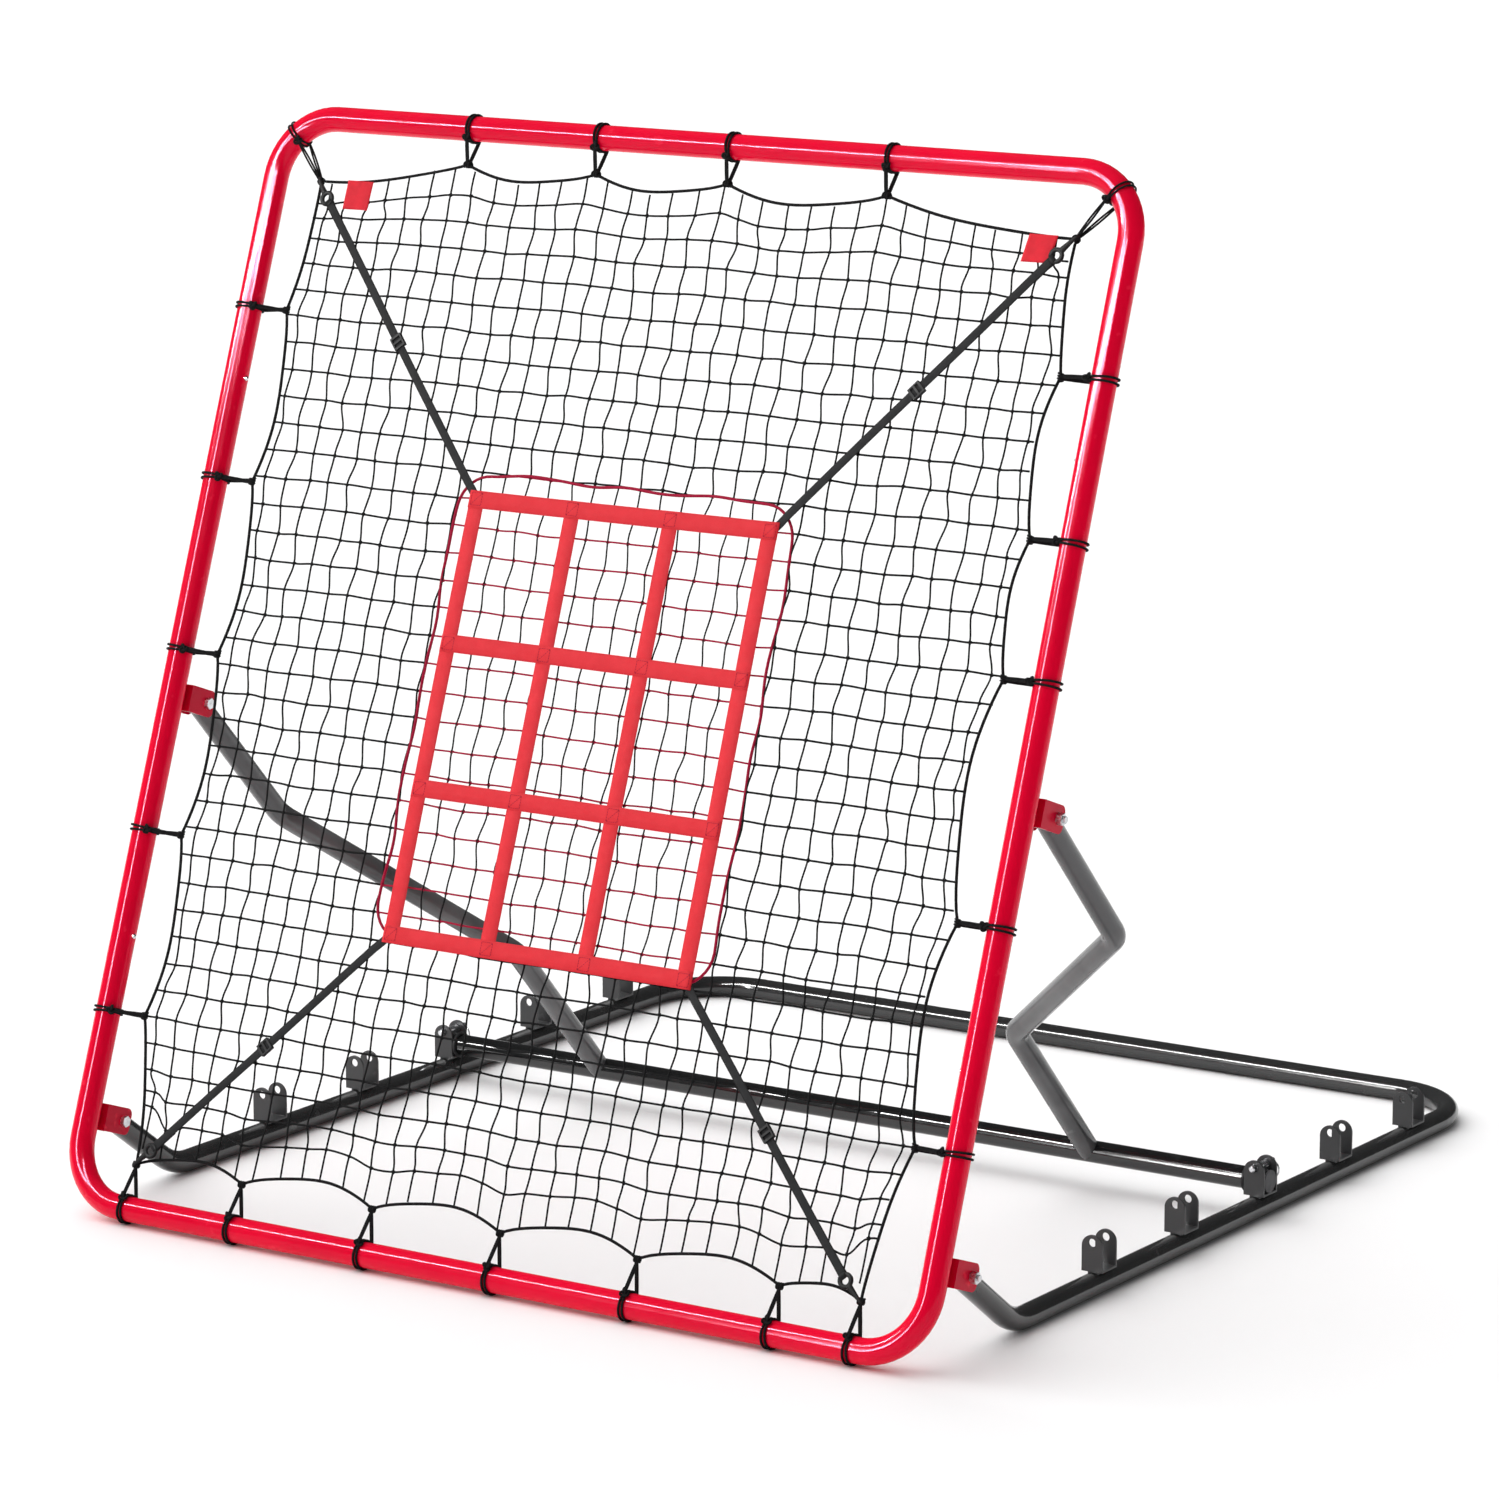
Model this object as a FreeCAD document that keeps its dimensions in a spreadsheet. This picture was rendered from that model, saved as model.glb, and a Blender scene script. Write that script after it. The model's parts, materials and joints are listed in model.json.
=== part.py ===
import FreeCAD, Part
import math
import os

import Sketcher
from FreeCAD import Placement, Rotation, Vector

# Pitching target net: a net strung in a leaning tube frame that hinges on a
# three-sided floor base, held up by a prop stand whose crossbar drops into one
# of five pairs of cradles along the base rails.
#
# Frame of the model: millimetres, +Z up, the target faces -Y, +X to its right.
# The origin is on the floor, at the centre of the object's footprint.
# Everything on the leaning frame is drawn in the frame's own axes and tilted
# as one: local X along the bottom bar, local Y behind the net, local Z up the
# side tubes, from the middle of the bottom bar.

doc = FreeCAD.newDocument("pitching_target_net")
sheet = doc.addObject("Spreadsheet::Sheet", "Sizes")

DRIVING = [
    ("frame_width", 1250, "side tube to side tube, centres"),
    ("frame_height", 1398, "bottom bar to top bar, centres"),
    ("frame_corner", 80, "bend radius of the frame's corners"),
    ("frame_tube", 31.8, "outside diameter, 1 1/4 inch"),
    ("frame_lean", 20, "degrees back from upright"),
    ("frame_lift", 19, "bottom bar's centre above the floor"),
    ("seam_low", 352, "lower seam, up the side tubes"),
    ("seam_high", 1040, "upper seam, up the side tubes"),
    ("plug_length", 70, "reduced end inside the next tube"),
    ("tube_wall", 1.2, "wall of every tube"),
    ("stand_tube", 28.6, "base and prop tube, 1 1/8 inch"),
    ("hinge_low", 107, "lower hinge, up the side tubes"),
    ("hinge_high", 645, "upper hinge, up the side tubes"),
    ("hinge_behind", 52, "hinge axes behind the frame's plane"),
    ("bracket_gap", 29.2, "between a hinge bracket's ears"),
    ("bracket_plate", 3.2, "hinge bracket's plate"),
    ("bracket_tall", 34, "hinge bracket's height"),
    ("bracket_reach", 14, "ear past its hinge axis"),
    ("hinge_bolt", 8, "M8 hinge bolts"),
    ("riser_foot", 205, "where the base turns up to the hinge"),
    ("riser_bend", 90, "bend radius there"),
    ("base_rear", 1405, "rear bar's centre, behind the bottom bar's"),
    ("foot_centre", 700, "middle of the footprint behind the bottom bar's centre"),
    ("base_corner", 115, "bend radius of the rear corners"),
    ("cradle_first", 407, "first pair of cradles"),
    ("cradle_pitch", 199.5, "from one pair to the next"),
    ("cradle_gap", 29.4, "between a cradle's ears"),
    ("cradle_plate", 2.6, "cradle plate"),
    ("cradle_wide", 28.6, "cradle width, along the crossbar"),
    ("cradle_tall", 45.5, "under the floor to the ears' tops"),
    ("cradle_weld", 1.4, "weld neck between rail and cradle"),
    ("pin_hole", 10.5, "holes in the ears"),
    ("lock_pin", 8.5, "lock pin's diameter"),
    ("leg_inset", 246.5, "how far the legs jog inwards"),
    ("leg_jog_from", 243, "first bend, from the upper hinge"),
    ("leg_jog_to", 506, "second bend, from the upper hinge"),
    ("leg_bend", 34, "bend radius of the legs"),
    ("net_side", 58, "net edge to side tube, centres"),
    ("net_top", 45, "net edge to top bar"),
    ("net_foot", 56, "net edge to bottom bar"),
    ("net_thick", 2, "net slab, as thick as its cord"),
    ("rope_wide", 3.4, "border rope"),
    ("zone_width", 453, "strike zone, outside"),
    ("zone_height", 567, "strike zone, outside"),
    ("zone_foot", 378, "strike zone's lower edge above the bottom bar"),
    ("webbing", 22, "width of the zone's webbing"),
    ("strap_wide", 11, "width of the corner straps"),
    ("webbing_thick", 1.8, "webbing's thickness"),
]
for row, (alias, value, note) in enumerate(DRIVING, start=1):
    sheet.set(f"A{row}", alias.replace("_", " "))
    sheet.set(f"B{row}", str(value))
    sheet.setAlias(f"B{row}", alias)
    sheet.set(f"C{row}", note)
doc.recompute()


def size(alias):
    """A driving dimension, as a plain number."""
    return float(sheet.getPropertyByName(alias))


parts = []


# ---------------------------------------------------------------- geometry
HALF = size("frame_width") / 2
FRAME_R = size("frame_tube") / 2
STAND_R = size("stand_tube") / 2
LEAN = size("frame_lean")
SIDES = (("left", -1), ("right", 1))
ROOM = 0.3          # left between pieces that must not touch

FLAT = Placement(Vector(0, -size("foot_centre"), 0), Rotation())
LEANING = Placement(Vector(0, -size("foot_centre"), size("frame_lift")),
                    Rotation(Vector(1, 0, 0), -LEAN))


def leaning_point(x, behind, up):
    """A point of the leaning frame, in the flat axes of the base."""
    return FLAT.inverse().multVec(LEANING.multVec(Vector(x, behind, up)))


HINGE_LOW = leaning_point(0, size("hinge_behind"), size("hinge_low"))
HINGE_HIGH = leaning_point(0, size("hinge_behind"), size("hinge_high"))
CRADLE_FLOOR = 2 * STAND_R + size("cradle_weld") + size("cradle_plate")
BAR_Y = size("cradle_first") + 2 * size("cradle_pitch")
BAR_Z = CRADLE_FLOOR + STAND_R + ROOM / 2
HOLE_Z = BAR_Z + STAND_R + size("lock_pin") / 2 + ROOM
BAR_CENTRE = Vector(0, BAR_Y, BAR_Z)
PROP_LENGTH = (BAR_CENTRE - HINGE_HIGH).Length


# ---------------------------------------------------------------- helpers
def keep(obj, placement=None):
    """Register a sub-part whose Label is its node name."""
    if placement is not None:
        obj.Placement = placement
    parts.append(obj)
    return obj


def new_body(label, placement):
    body = doc.addObject("PartDesign::Body", label)
    body.Label = label
    return keep(body, placement)


def plane(body, role):
    return next(f for f in body.Origin.OriginFeatures if f.Role == role)


def new_sketch(body, name, role, offset=None):
    """A sketch on one of the body's own origin planes, moved by offset."""
    sketch = body.newObject("Sketcher::SketchObject", name)
    sketch.AttachmentSupport = (plane(body, role), [""])
    sketch.MapMode = "FlatFace"
    if offset is not None:
        sketch.AttachmentOffset = offset
    return sketch


def circle(sketch, x, y, radius, formula=None):
    """A circle fixed in place; its diameter follows a formula of the sheet."""
    index = sketch.addGeometry(Part.Circle(Vector(x, y, 0), Vector(0, 0, 1), radius))
    pin_point(sketch, index, 3, x, y)
    diameter = sketch.addConstraint(Sketcher.Constraint("Diameter", index, 2 * radius))
    if formula:
        sketch.setExpression(f"Constraints[{diameter}]", formula)
    return index


def pin_point(sketch, index, vertex, x, y):
    """Fix a point of a sketch at x, y from the sketch's origin."""
    sketch.addConstraint(Sketcher.Constraint("DistanceX", -1, 1, index, vertex, x))
    sketch.addConstraint(Sketcher.Constraint("DistanceY", -1, 1, index, vertex, y))


def outline(sketch, points):
    """A closed outline of straight lines through the points."""
    first = None
    for start, end in zip(points, points[1:] + points[:1]):
        line = Part.LineSegment(Vector(*start, 0), Vector(*end, 0))
        index = sketch.addGeometry(line)
        pin_point(sketch, index, 1, *start)
        if first is None:
            first = index
        else:
            sketch.addConstraint(Sketcher.Constraint("Coincident", index - 1, 2, index, 1))
    sketch.addConstraint(Sketcher.Constraint("Coincident", index, 2, first, 1))


def curves(sketch, edges):
    """Lines and arcs put into a sketch as they are."""
    for edge in edges:
        sketch.addGeometry(edge)


def rounded_path(points, radius):
    """Lines through the points, joined by tangent arcs of one radius."""
    path = []
    start = points[0]
    for before, corner, after in zip(points, points[1:], points[2:]):
        into = (corner - before).normalize()
        out = (after - corner).normalize()
        half_turn = into.getAngle(out) / 2
        setback = radius * math.tan(half_turn)
        enter = corner - into * setback
        leave = corner + out * setback
        middle = corner + (out - into).normalize() * radius * (1 / math.cos(half_turn) - 1)
        path.append(Part.LineSegment(start, enter))
        path.append(Part.Arc(enter, middle, leave))
        start = leave
    path.append(Part.LineSegment(start, points[-1]))
    return path


def pad(body, sketch, length, formula=None, centred=False, reverse=False):
    feature = body.newObject("PartDesign::Pad", "Pad")
    feature.Profile = sketch
    feature.Length = length
    feature.Midplane = centred
    feature.Reversed = reverse
    if formula:
        feature.setExpression("Length", formula)
    return feature


def check_cut(body, feature, before):
    """A cut that misses leaves the volume and the faces as they were."""
    doc.recompute()
    after = feature.Shape
    if after.Volume >= before.Volume and len(after.Faces) <= len(before.Faces):
        raise RuntimeError(f"{body.Label}: {feature.Label} cuts nothing")


def through_cut(body, sketch):
    """A pocket right through the solid, both ways from its sketch."""
    doc.recompute()
    before = body.Tip.Shape
    feature = body.newObject("PartDesign::Pocket", "Pocket")
    feature.Profile = sketch
    feature.Type = "ThroughAll"
    feature.Midplane = True
    check_cut(body, feature, before)


def wall_cut(body, sketch, depth, reverse):
    """A pocket to one side of its sketch only, through a single wall."""
    doc.recompute()
    before = body.Tip.Shape
    feature = body.newObject("PartDesign::Pocket", "Pocket")
    feature.Profile = sketch
    feature.Length = depth
    feature.Reversed = reverse
    check_cut(body, feature, before)


def pipe(body, profile, spine):
    feature = body.newObject("PartDesign::AdditivePipe", "Pipe")
    feature.Profile = profile
    feature.Spine = spine
    return feature


def fixed_shape(label, shape, placement):
    """A sub-part whose shape is worked out here, in the given axes."""
    obj = doc.addObject("Part::Feature", label)
    obj.Label = label
    obj.Shape = shape
    return keep(obj, placement.multiply(shape.Placement))


def solids(shapes):
    """Several separate solids that share one node."""
    return Part.makeCompound(shapes)


# ---------------------------------------------------------------- base
def base_tube():
    """One bent tube: riser, rail, rear bar, rail, riser."""
    riser = Vector(0, size("riser_foot"), STAND_R) - HINGE_LOW
    end = HINGE_LOW - riser.normalize() * size("bracket_reach")
    route = []
    for side in (-1, 1):
        x = side * HALF
        run = [Vector(x, end.y, end.z),
               Vector(x, size("riser_foot"), STAND_R),
               Vector(x, size("base_rear"), STAND_R)]
        route += run if side < 0 else run[::-1]
    bends = (size("riser_bend"), size("base_corner"), size("base_corner"), size("riser_bend"))
    path = []
    start = route[0]
    for i, radius in enumerate(bends, start=1):
        line, arc, _ = rounded_path([start, route[i], route[i + 1]], radius)
        path += [line, arc]
        start = arc.EndPoint
    path.append(Part.LineSegment(start, route[-1]))
    spine = Part.Wire([edge.toShape() for edge in path])
    heading = route[1] - route[0]
    tubes = []
    for radius in (STAND_R, STAND_R - size("tube_wall")):
        ring = Part.Wire(Part.makeCircle(radius, route[0], heading))
        tubes.append(spine.makePipeShell([ring], True, True))
    tube = tubes[0].cut(tubes[1])
    bore = Part.makeCylinder(size("hinge_bolt") / 2 + 0.05, 4 * HALF,
                             Vector(-2 * HALF, HINGE_LOW.y, HINGE_LOW.z), Vector(1, 0, 0))
    return fixed_shape("base_tube", tube.cut(bore), FLAT)


def cradle(label, x, y):
    """A U of bent plate, ears across the rail, with a weld neck below."""
    low = 2 * STAND_R + size("cradle_weld")
    plate = size("cradle_plate")
    half_gap = size("cradle_gap") / 2
    half_wide = size("cradle_wide") / 2
    top = low + size("cradle_tall")
    shoulder = top - half_wide
    body = new_body(label, FLAT)
    face = new_sketch(body, "Face", "XZ_Plane",
                      Placement(Vector(0, 0, -y), Rotation()))
    left = Vector(x - half_wide, low, 0)
    right = Vector(x + half_wide, low, 0)
    crown = Vector(x, top, 0)
    left_up = Vector(left.x, shoulder, 0)
    right_up = Vector(right.x, shoulder, 0)
    curves(face, [Part.LineSegment(left, right), Part.LineSegment(right, right_up),
                  Part.Arc(right_up, crown, left_up), Part.LineSegment(left_up, left)])
    pad(body, face, size("cradle_gap") + 2 * plate,
        "Sizes.cradle_gap + 2 * Sizes.cradle_plate", centred=True)
    seat = new_sketch(body, "Seat", "YZ_Plane", Placement(Vector(0, 0, x), Rotation()))
    outline(seat, [(y - half_gap, low + plate), (y + half_gap, low + plate),
                   (y + half_gap, top + 1), (y - half_gap, top + 1)])
    through_cut(body, seat)
    hole = new_sketch(body, "PinHole", "XZ_Plane", Placement(Vector(0, 0, -y), Rotation()))
    circle(hole, x, HOLE_Z, size("pin_hole") / 2, "Sizes.pin_hole")
    through_cut(body, hole)
    neck = new_sketch(body, "WeldNeck", "XZ_Plane", Placement(Vector(0, 0, -y), Rotation()))
    sink = STAND_R - math.sqrt(STAND_R ** 2 - (half_wide / 2) ** 2)
    crest = 2 * STAND_R
    foot_l = Vector(x - half_wide / 2, crest - sink, 0)
    foot_r = Vector(x + half_wide / 2, crest - sink, 0)
    curves(neck, [Part.Arc(foot_l, Vector(x, crest, 0), foot_r),
                  Part.LineSegment(foot_r, Vector(foot_r.x, low, 0)),
                  Part.LineSegment(Vector(foot_r.x, low, 0), Vector(foot_l.x, low, 0)),
                  Part.LineSegment(Vector(foot_l.x, low, 0), foot_l)])
    pad(body, neck, size("cradle_gap"), "Sizes.cradle_gap", centred=True)


def lock_pin(label, x):
    """Straight pin with a shoulder and a cross-drilled tail for its ring."""
    ear = size("cradle_gap") / 2 + size("cradle_plate")
    tip = -ear - 7
    shoulder = ear + 0.5
    tail = shoulder + 14
    radius = size("lock_pin") / 2
    body = new_body(label, Placement(FLAT.Base + Vector(x, BAR_Y, HOLE_Z), Rotation()))
    profile = new_sketch(body, "Profile", "YZ_Plane")
    outline(profile, [(tip, 0), (tip, radius - 1.2), (tip + 1.2, radius), (shoulder, radius),
                      (shoulder, radius + 2), (shoulder + 3, radius + 2),
                      (shoulder + 3, radius - 1), (tail, radius - 1), (tail, 0)])
    turned = body.newObject("PartDesign::Revolution", "Turned")
    turned.Profile = profile
    turned.ReferenceAxis = (profile, ["H_Axis"])
    turned.Angle = 360
    drill = new_sketch(body, "RingHole", "YZ_Plane")
    circle(drill, tail - 4, 0, 1.8)
    through_cut(body, drill)
    return tail - 4


def pull_ring(label, x, ring_y):
    """Round wire ring that hangs from the pin's tail."""
    wire = 1.0
    radius = 11.0
    ring = doc.addObject("Part::Torus", label)
    ring.Label = label
    ring.Radius1 = radius
    ring.Radius2 = wire
    centre = FLAT.Base + Vector(x, BAR_Y + ring_y, HOLE_Z - radius)
    keep(ring, Placement(centre, Rotation(Vector(1, 0, 0), 90)))


# ---------------------------------------------------------------- prop stand
END_CAP = 2.0       # flat head of the plug in each end of the crossbar


def crossbar():
    """The prop's foot: a tube between the two middle cradles."""
    length = size("frame_width") + size("cradle_wide") - 2 * END_CAP
    tube = doc.addObject("Part::Cylinder", "crossbar_stock")
    bore = doc.addObject("Part::Cylinder", "crossbar_bore")
    for cylinder in (tube, bore):
        cylinder.setExpression("Height", f"Sizes.frame_width + Sizes.cradle_wide - {2 * END_CAP}")
    tube.setExpression("Radius", "Sizes.stand_tube / 2")
    bore.setExpression("Radius", "Sizes.stand_tube / 2 - Sizes.tube_wall")
    bar = doc.addObject("Part::Cut", "crossbar")
    bar.Label = "crossbar"
    bar.Base = tube
    bar.Tool = bore
    start = FLAT.Base + BAR_CENTRE - Vector(length / 2, 0, 0)
    keep(bar, Placement(start, Rotation(Vector(0, 1, 0), 90)))


def crossbar_cap(label, side):
    """Plastic plug: a flat head and a spigot inside the tube."""
    body = new_body(label, Placement(FLAT.Base + BAR_CENTRE, Rotation()))
    face = side * (HALF + size("cradle_wide") / 2)
    head = new_sketch(body, "Head", "YZ_Plane", Placement(Vector(0, 0, face), Rotation()))
    circle(head, 0, 0, STAND_R, "Sizes.stand_tube")
    pad(body, head, END_CAP, reverse=side > 0)
    spigot = new_sketch(body, "Spigot", "YZ_Plane", Placement(Vector(0, 0, face), Rotation()))
    circle(spigot, 0, 0, STAND_R - size("tube_wall") - 0.1)
    pad(body, spigot, 20, reverse=side > 0)


def crossbar_collar(label, side):
    """Flange that keeps the crossbar centred between the cradles."""
    plate = 3.0
    body = new_body(label, Placement(FLAT.Base + BAR_CENTRE, Rotation()))
    inner = side * (HALF - size("cradle_wide") / 2 - 1)
    disc = new_sketch(body, "Disc", "YZ_Plane", Placement(Vector(0, 0, inner), Rotation()))
    circle(disc, 0, 0, STAND_R)
    circle(disc, 0, 0, STAND_R + 3.4)
    pad(body, disc, plate, reverse=side > 0)


def prop_leg(label, side):
    """Z-shaped tube from the upper hinge to the crossbar, in a slanted plane."""
    slope = math.degrees(math.atan2(BAR_CENTRE.y - HINGE_HIGH.y, HINGE_HIGH.z - BAR_CENTRE.z))
    body = new_body(label, Placement(FLAT.Base + HINGE_HIGH, Rotation(Vector(1, 0, 0), slope)))
    outer = side * HALF
    inner = side * (HALF - size("leg_inset"))
    top = size("bracket_reach")
    points = [Vector(outer, top, 0), Vector(outer, -size("leg_jog_from"), 0),
              Vector(inner, -size("leg_jog_to"), 0), Vector(inner, -PROP_LENGTH, 0)]
    spine = new_sketch(body, "Spine", "XZ_Plane")
    curves(spine, rounded_path(points, size("leg_bend")))
    section = new_sketch(body, "Section", "XY_Plane",
                         Placement(Vector(outer, 0, top), Rotation()))
    circle(section, 0, 0, STAND_R, "Sizes.stand_tube")
    circle(section, 0, 0, STAND_R - size("tube_wall"),
           "Sizes.stand_tube - 2 * Sizes.tube_wall")
    pipe(body, section, spine)
    cope = new_sketch(body, "Cope", "YZ_Plane", Placement(Vector(0, 0, inner), Rotation()))
    circle(cope, 0, -PROP_LENGTH, STAND_R + 0.02)
    through_cut(body, cope)
    bore = new_sketch(body, "HingeHole", "YZ_Plane", Placement(Vector(0, 0, outer), Rotation()))
    circle(bore, 0, 0, size("hinge_bolt") / 2 + 0.05, "Sizes.hinge_bolt + 0.1")
    through_cut(body, bore)


# ---------------------------------------------------------------- leaning frame
def frame_hoop(label, bar, seam):
    """A U of tube: the bar and the two bends, down to the seams."""
    body = new_body(label, LEANING)
    points = [Vector(-HALF, seam, 0), Vector(-HALF, bar, 0),
              Vector(HALF, bar, 0), Vector(HALF, seam, 0)]
    spine = new_sketch(body, "Spine", "XZ_Plane")
    curves(spine, rounded_path(points, size("frame_corner")))
    section = new_sketch(body, "Section", "XY_Plane",
                         Placement(Vector(-HALF, 0, seam), Rotation()))
    circle(section, 0, 0, FRAME_R, "Sizes.frame_tube")
    circle(section, 0, 0, FRAME_R - size("tube_wall"),
           "Sizes.frame_tube - 2 * Sizes.tube_wall")
    pipe(body, section, spine)
    return body


def snap_heights():
    """Each snap button's height: just past the seam, in the hoop's own tube."""
    past = 16
    return (("lower", size("seam_low") - past), ("upper", size("seam_high") + past))


BUTTON_HOLE = 3.6   # radius of the snap buttons' holes


def button_holes(body, height, inset):
    """Holes for the snap buttons, in the walls that face each other."""
    for _, side in SIDES:
        wall = new_sketch(body, "ButtonHole", "YZ_Plane",
                          Placement(Vector(0, 0, side * (HALF - inset)), Rotation()))
        circle(wall, 0, height, BUTTON_HOLE)
        wall_cut(body, wall, inset, side > 0)


def side_tube(label, side):
    """Straight tube with a reduced plug at each end, drilled for the buttons."""
    wall = size("tube_wall")
    low = size("seam_low")
    high = size("seam_high")
    reach = size("plug_length")
    plug_r = FRAME_R - wall - 0.15
    body = new_body(label, Placement(LEANING.multVec(Vector(side * HALF, 0, 0)),
                                     LEANING.Rotation))
    profile = new_sketch(body, "Profile", "XZ_Plane")
    taper = wall + 0.15
    outline(profile, [(plug_r - wall, low - reach), (plug_r, low - reach), (plug_r, low),
                      (FRAME_R, low), (FRAME_R, high), (plug_r, high),
                      (plug_r, high + reach), (plug_r - wall, high + reach),
                      (plug_r - wall, high), (FRAME_R - wall, high - taper),
                      (FRAME_R - wall, low + taper), (plug_r - wall, low)])
    turned = body.newObject("PartDesign::Revolution", "Turned")
    turned.Profile = profile
    turned.ReferenceAxis = (profile, ["V_Axis"])
    turned.Angle = 360
    for _, height in snap_heights():
        hole = new_sketch(body, "ButtonHole", "YZ_Plane")
        circle(hole, 0, height, BUTTON_HOLE)
        wall_cut(body, hole, FRAME_R, side < 0)


def snap_button(label, side, height):
    """Round-headed button that pops through both walls towards the net."""
    stem = BUTTON_HOLE - 0.3
    proud = 3.2
    seat = 8.0
    tip = FRAME_R + proud
    placement = Placement(LEANING.multVec(Vector(side * HALF, 0, height)), LEANING.Rotation)
    body = new_body(label, placement)
    profile = new_sketch(body, "Profile", "XZ_Plane")
    curves(profile, [
        Part.LineSegment(Vector(-side * seat, 0, 0), Vector(-side * seat, stem, 0)),
        Part.LineSegment(Vector(-side * seat, stem, 0), Vector(-side * (tip - stem), stem, 0)),
        Part.Arc(Vector(-side * (tip - stem), stem, 0),
                 Vector(-side * (tip - stem + stem * math.sqrt(0.5)), stem * math.sqrt(0.5), 0),
                 Vector(-side * tip, 0, 0)),
        Part.LineSegment(Vector(-side * tip, 0, 0), Vector(-side * seat, 0, 0))])
    turned = body.newObject("PartDesign::Revolution", "Turned")
    turned.Profile = profile
    turned.ReferenceAxis = (profile, ["H_Axis"])
    turned.Angle = 360


def snap_springs():
    """A folded strip in each joint, whose free leg carries the button."""
    strip = 0.8
    wide = 8.0
    inner = FRAME_R - 2 * size("tube_wall") - 0.15
    shapes = []
    for name, height in snap_heights():
        away = -1 if name == "lower" else 1
        for _, side in SIDES:
            fold = height + away * 34
            free = Vector(side * (HALF - 3.2), 0, height)
            back = Vector(side * (HALF + inner - 2), 0, height)
            bend = Vector(side * (HALF + 4), 0, fold)
            for start in (free, back):
                run = bend - start
                leg = Part.makeBox(strip, wide, run.Length - 2, Vector(-strip / 2, -wide / 2, 0))
                leg.Placement = Placement(start, Rotation(Vector(0, 0, 1), run))
                shapes.append(leg)
            shapes[-2:] = [shapes[-2].fuse(shapes[-1]).fuse(
                Part.makeCylinder(3, wide, bend - Vector(0, wide / 2, 0), Vector(0, 1, 0)))]
    return fixed_shape("snap_springs", solids(shapes), LEANING)


def hinge_bracket(label, side, height):
    """A U of plate on the back of a side tube, ears to either side."""
    plate = size("bracket_plate")
    outer = size("bracket_gap") / 2 + plate
    tall = size("bracket_tall")
    front = FRAME_R
    back = size("hinge_behind") + size("bracket_reach")
    corner = 9.0
    placement = Placement(LEANING.multVec(Vector(side * HALF, 0, height)), LEANING.Rotation)
    body = new_body(label, placement)
    ear = new_sketch(body, "Ear", "YZ_Plane")
    corners = [Vector(front, -tall / 2, 0), Vector(back, -tall / 2, 0),
               Vector(back, tall / 2, 0), Vector(front, tall / 2, 0)]
    curves(ear, rounded_path(corners, corner))
    curves(ear, [Part.LineSegment(corners[-1], corners[0])])
    pad(body, ear, 2 * outer, "Sizes.bracket_gap + 2 * Sizes.bracket_plate", centred=True)
    gap = new_sketch(body, "Gap", "XY_Plane")
    half_gap = size("bracket_gap") / 2
    outline(gap, [(-half_gap, front + plate), (half_gap, front + plate),
                  (half_gap, back + 1), (-half_gap, back + 1)])
    through_cut(body, gap)
    bore = new_sketch(body, "BoltHole", "YZ_Plane")
    circle(bore, size("hinge_behind"), 0, size("hinge_bolt") / 2 + 0.02)
    through_cut(body, bore)


def hexagon(across):
    """Corner points of a hexagon of the given width across flats."""
    corner = across / math.sqrt(3)
    return [(corner * math.cos(math.radians(60 * i)), corner * math.sin(math.radians(60 * i)))
            for i in range(6)]


def hex_prism(across, thick, start, heading):
    """A hexagonal prism from start along heading."""
    face = Part.Face(Part.makePolygon([Vector(*p, 0) for p in hexagon(across) + hexagon(across)[:1]]))
    prism = face.extrude(Vector(0, 0, thick))
    prism.Placement = Placement(start, Rotation(Vector(0, 0, 1), heading))
    return prism


def hinge_fasteners(name, height):
    """Bolts from the inboard side, and their nuts outboard, one of each a side."""
    outer = size("bracket_gap") / 2 + size("bracket_plate")
    across = 13.0
    bolts = []
    nuts = []
    for _, side in SIDES:
        outboard = Vector(side, 0, 0)
        axis = Vector(side * HALF, size("hinge_behind"), height)
        head = hex_prism(across, 5.3, axis - outboard * (outer + 5.3), outboard)
        shank = Part.makeCylinder(size("hinge_bolt") / 2, 2 * outer + 11,
                                  axis - outboard * outer, outboard)
        bolts.append(head.fuse(shank))
        nut = hex_prism(across, 8, axis + outboard * (outer + 0.02), outboard)
        bore = Part.makeCylinder(size("hinge_bolt") / 2 + 0.02, 10, axis + outboard * outer, outboard)
        nuts.append(nut.cut(bore))
    fixed_shape(f"hinge_bolts_{name}", solids(bolts), LEANING)
    fixed_shape(f"hinge_nuts_{name}", solids(nuts), LEANING)


# ---------------------------------------------------------------- net
NET_LEFT = -HALF + size("net_side")
NET_RIGHT = HALF - size("net_side")
NET_TOP = size("frame_height") - size("net_top")
NET_FOOT = size("net_foot")
UPPER_CORNER = (14, 35)     # the corner ties stand this far in, across and down
LOWER_CORNER = 33           # and this far in along the bottom

# Places of the ties along each side: they are tied by hand, so uneven.
TIES_TOP = (-332, -138, 56, 284)
TIES_BOTTOM = (-368, -168, 23, 222, 422)
TIES_LEFT = (1148, 926, 703, 471, 240)
TIES_RIGHT = (1152, 958, 792, 504, 240)


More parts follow.
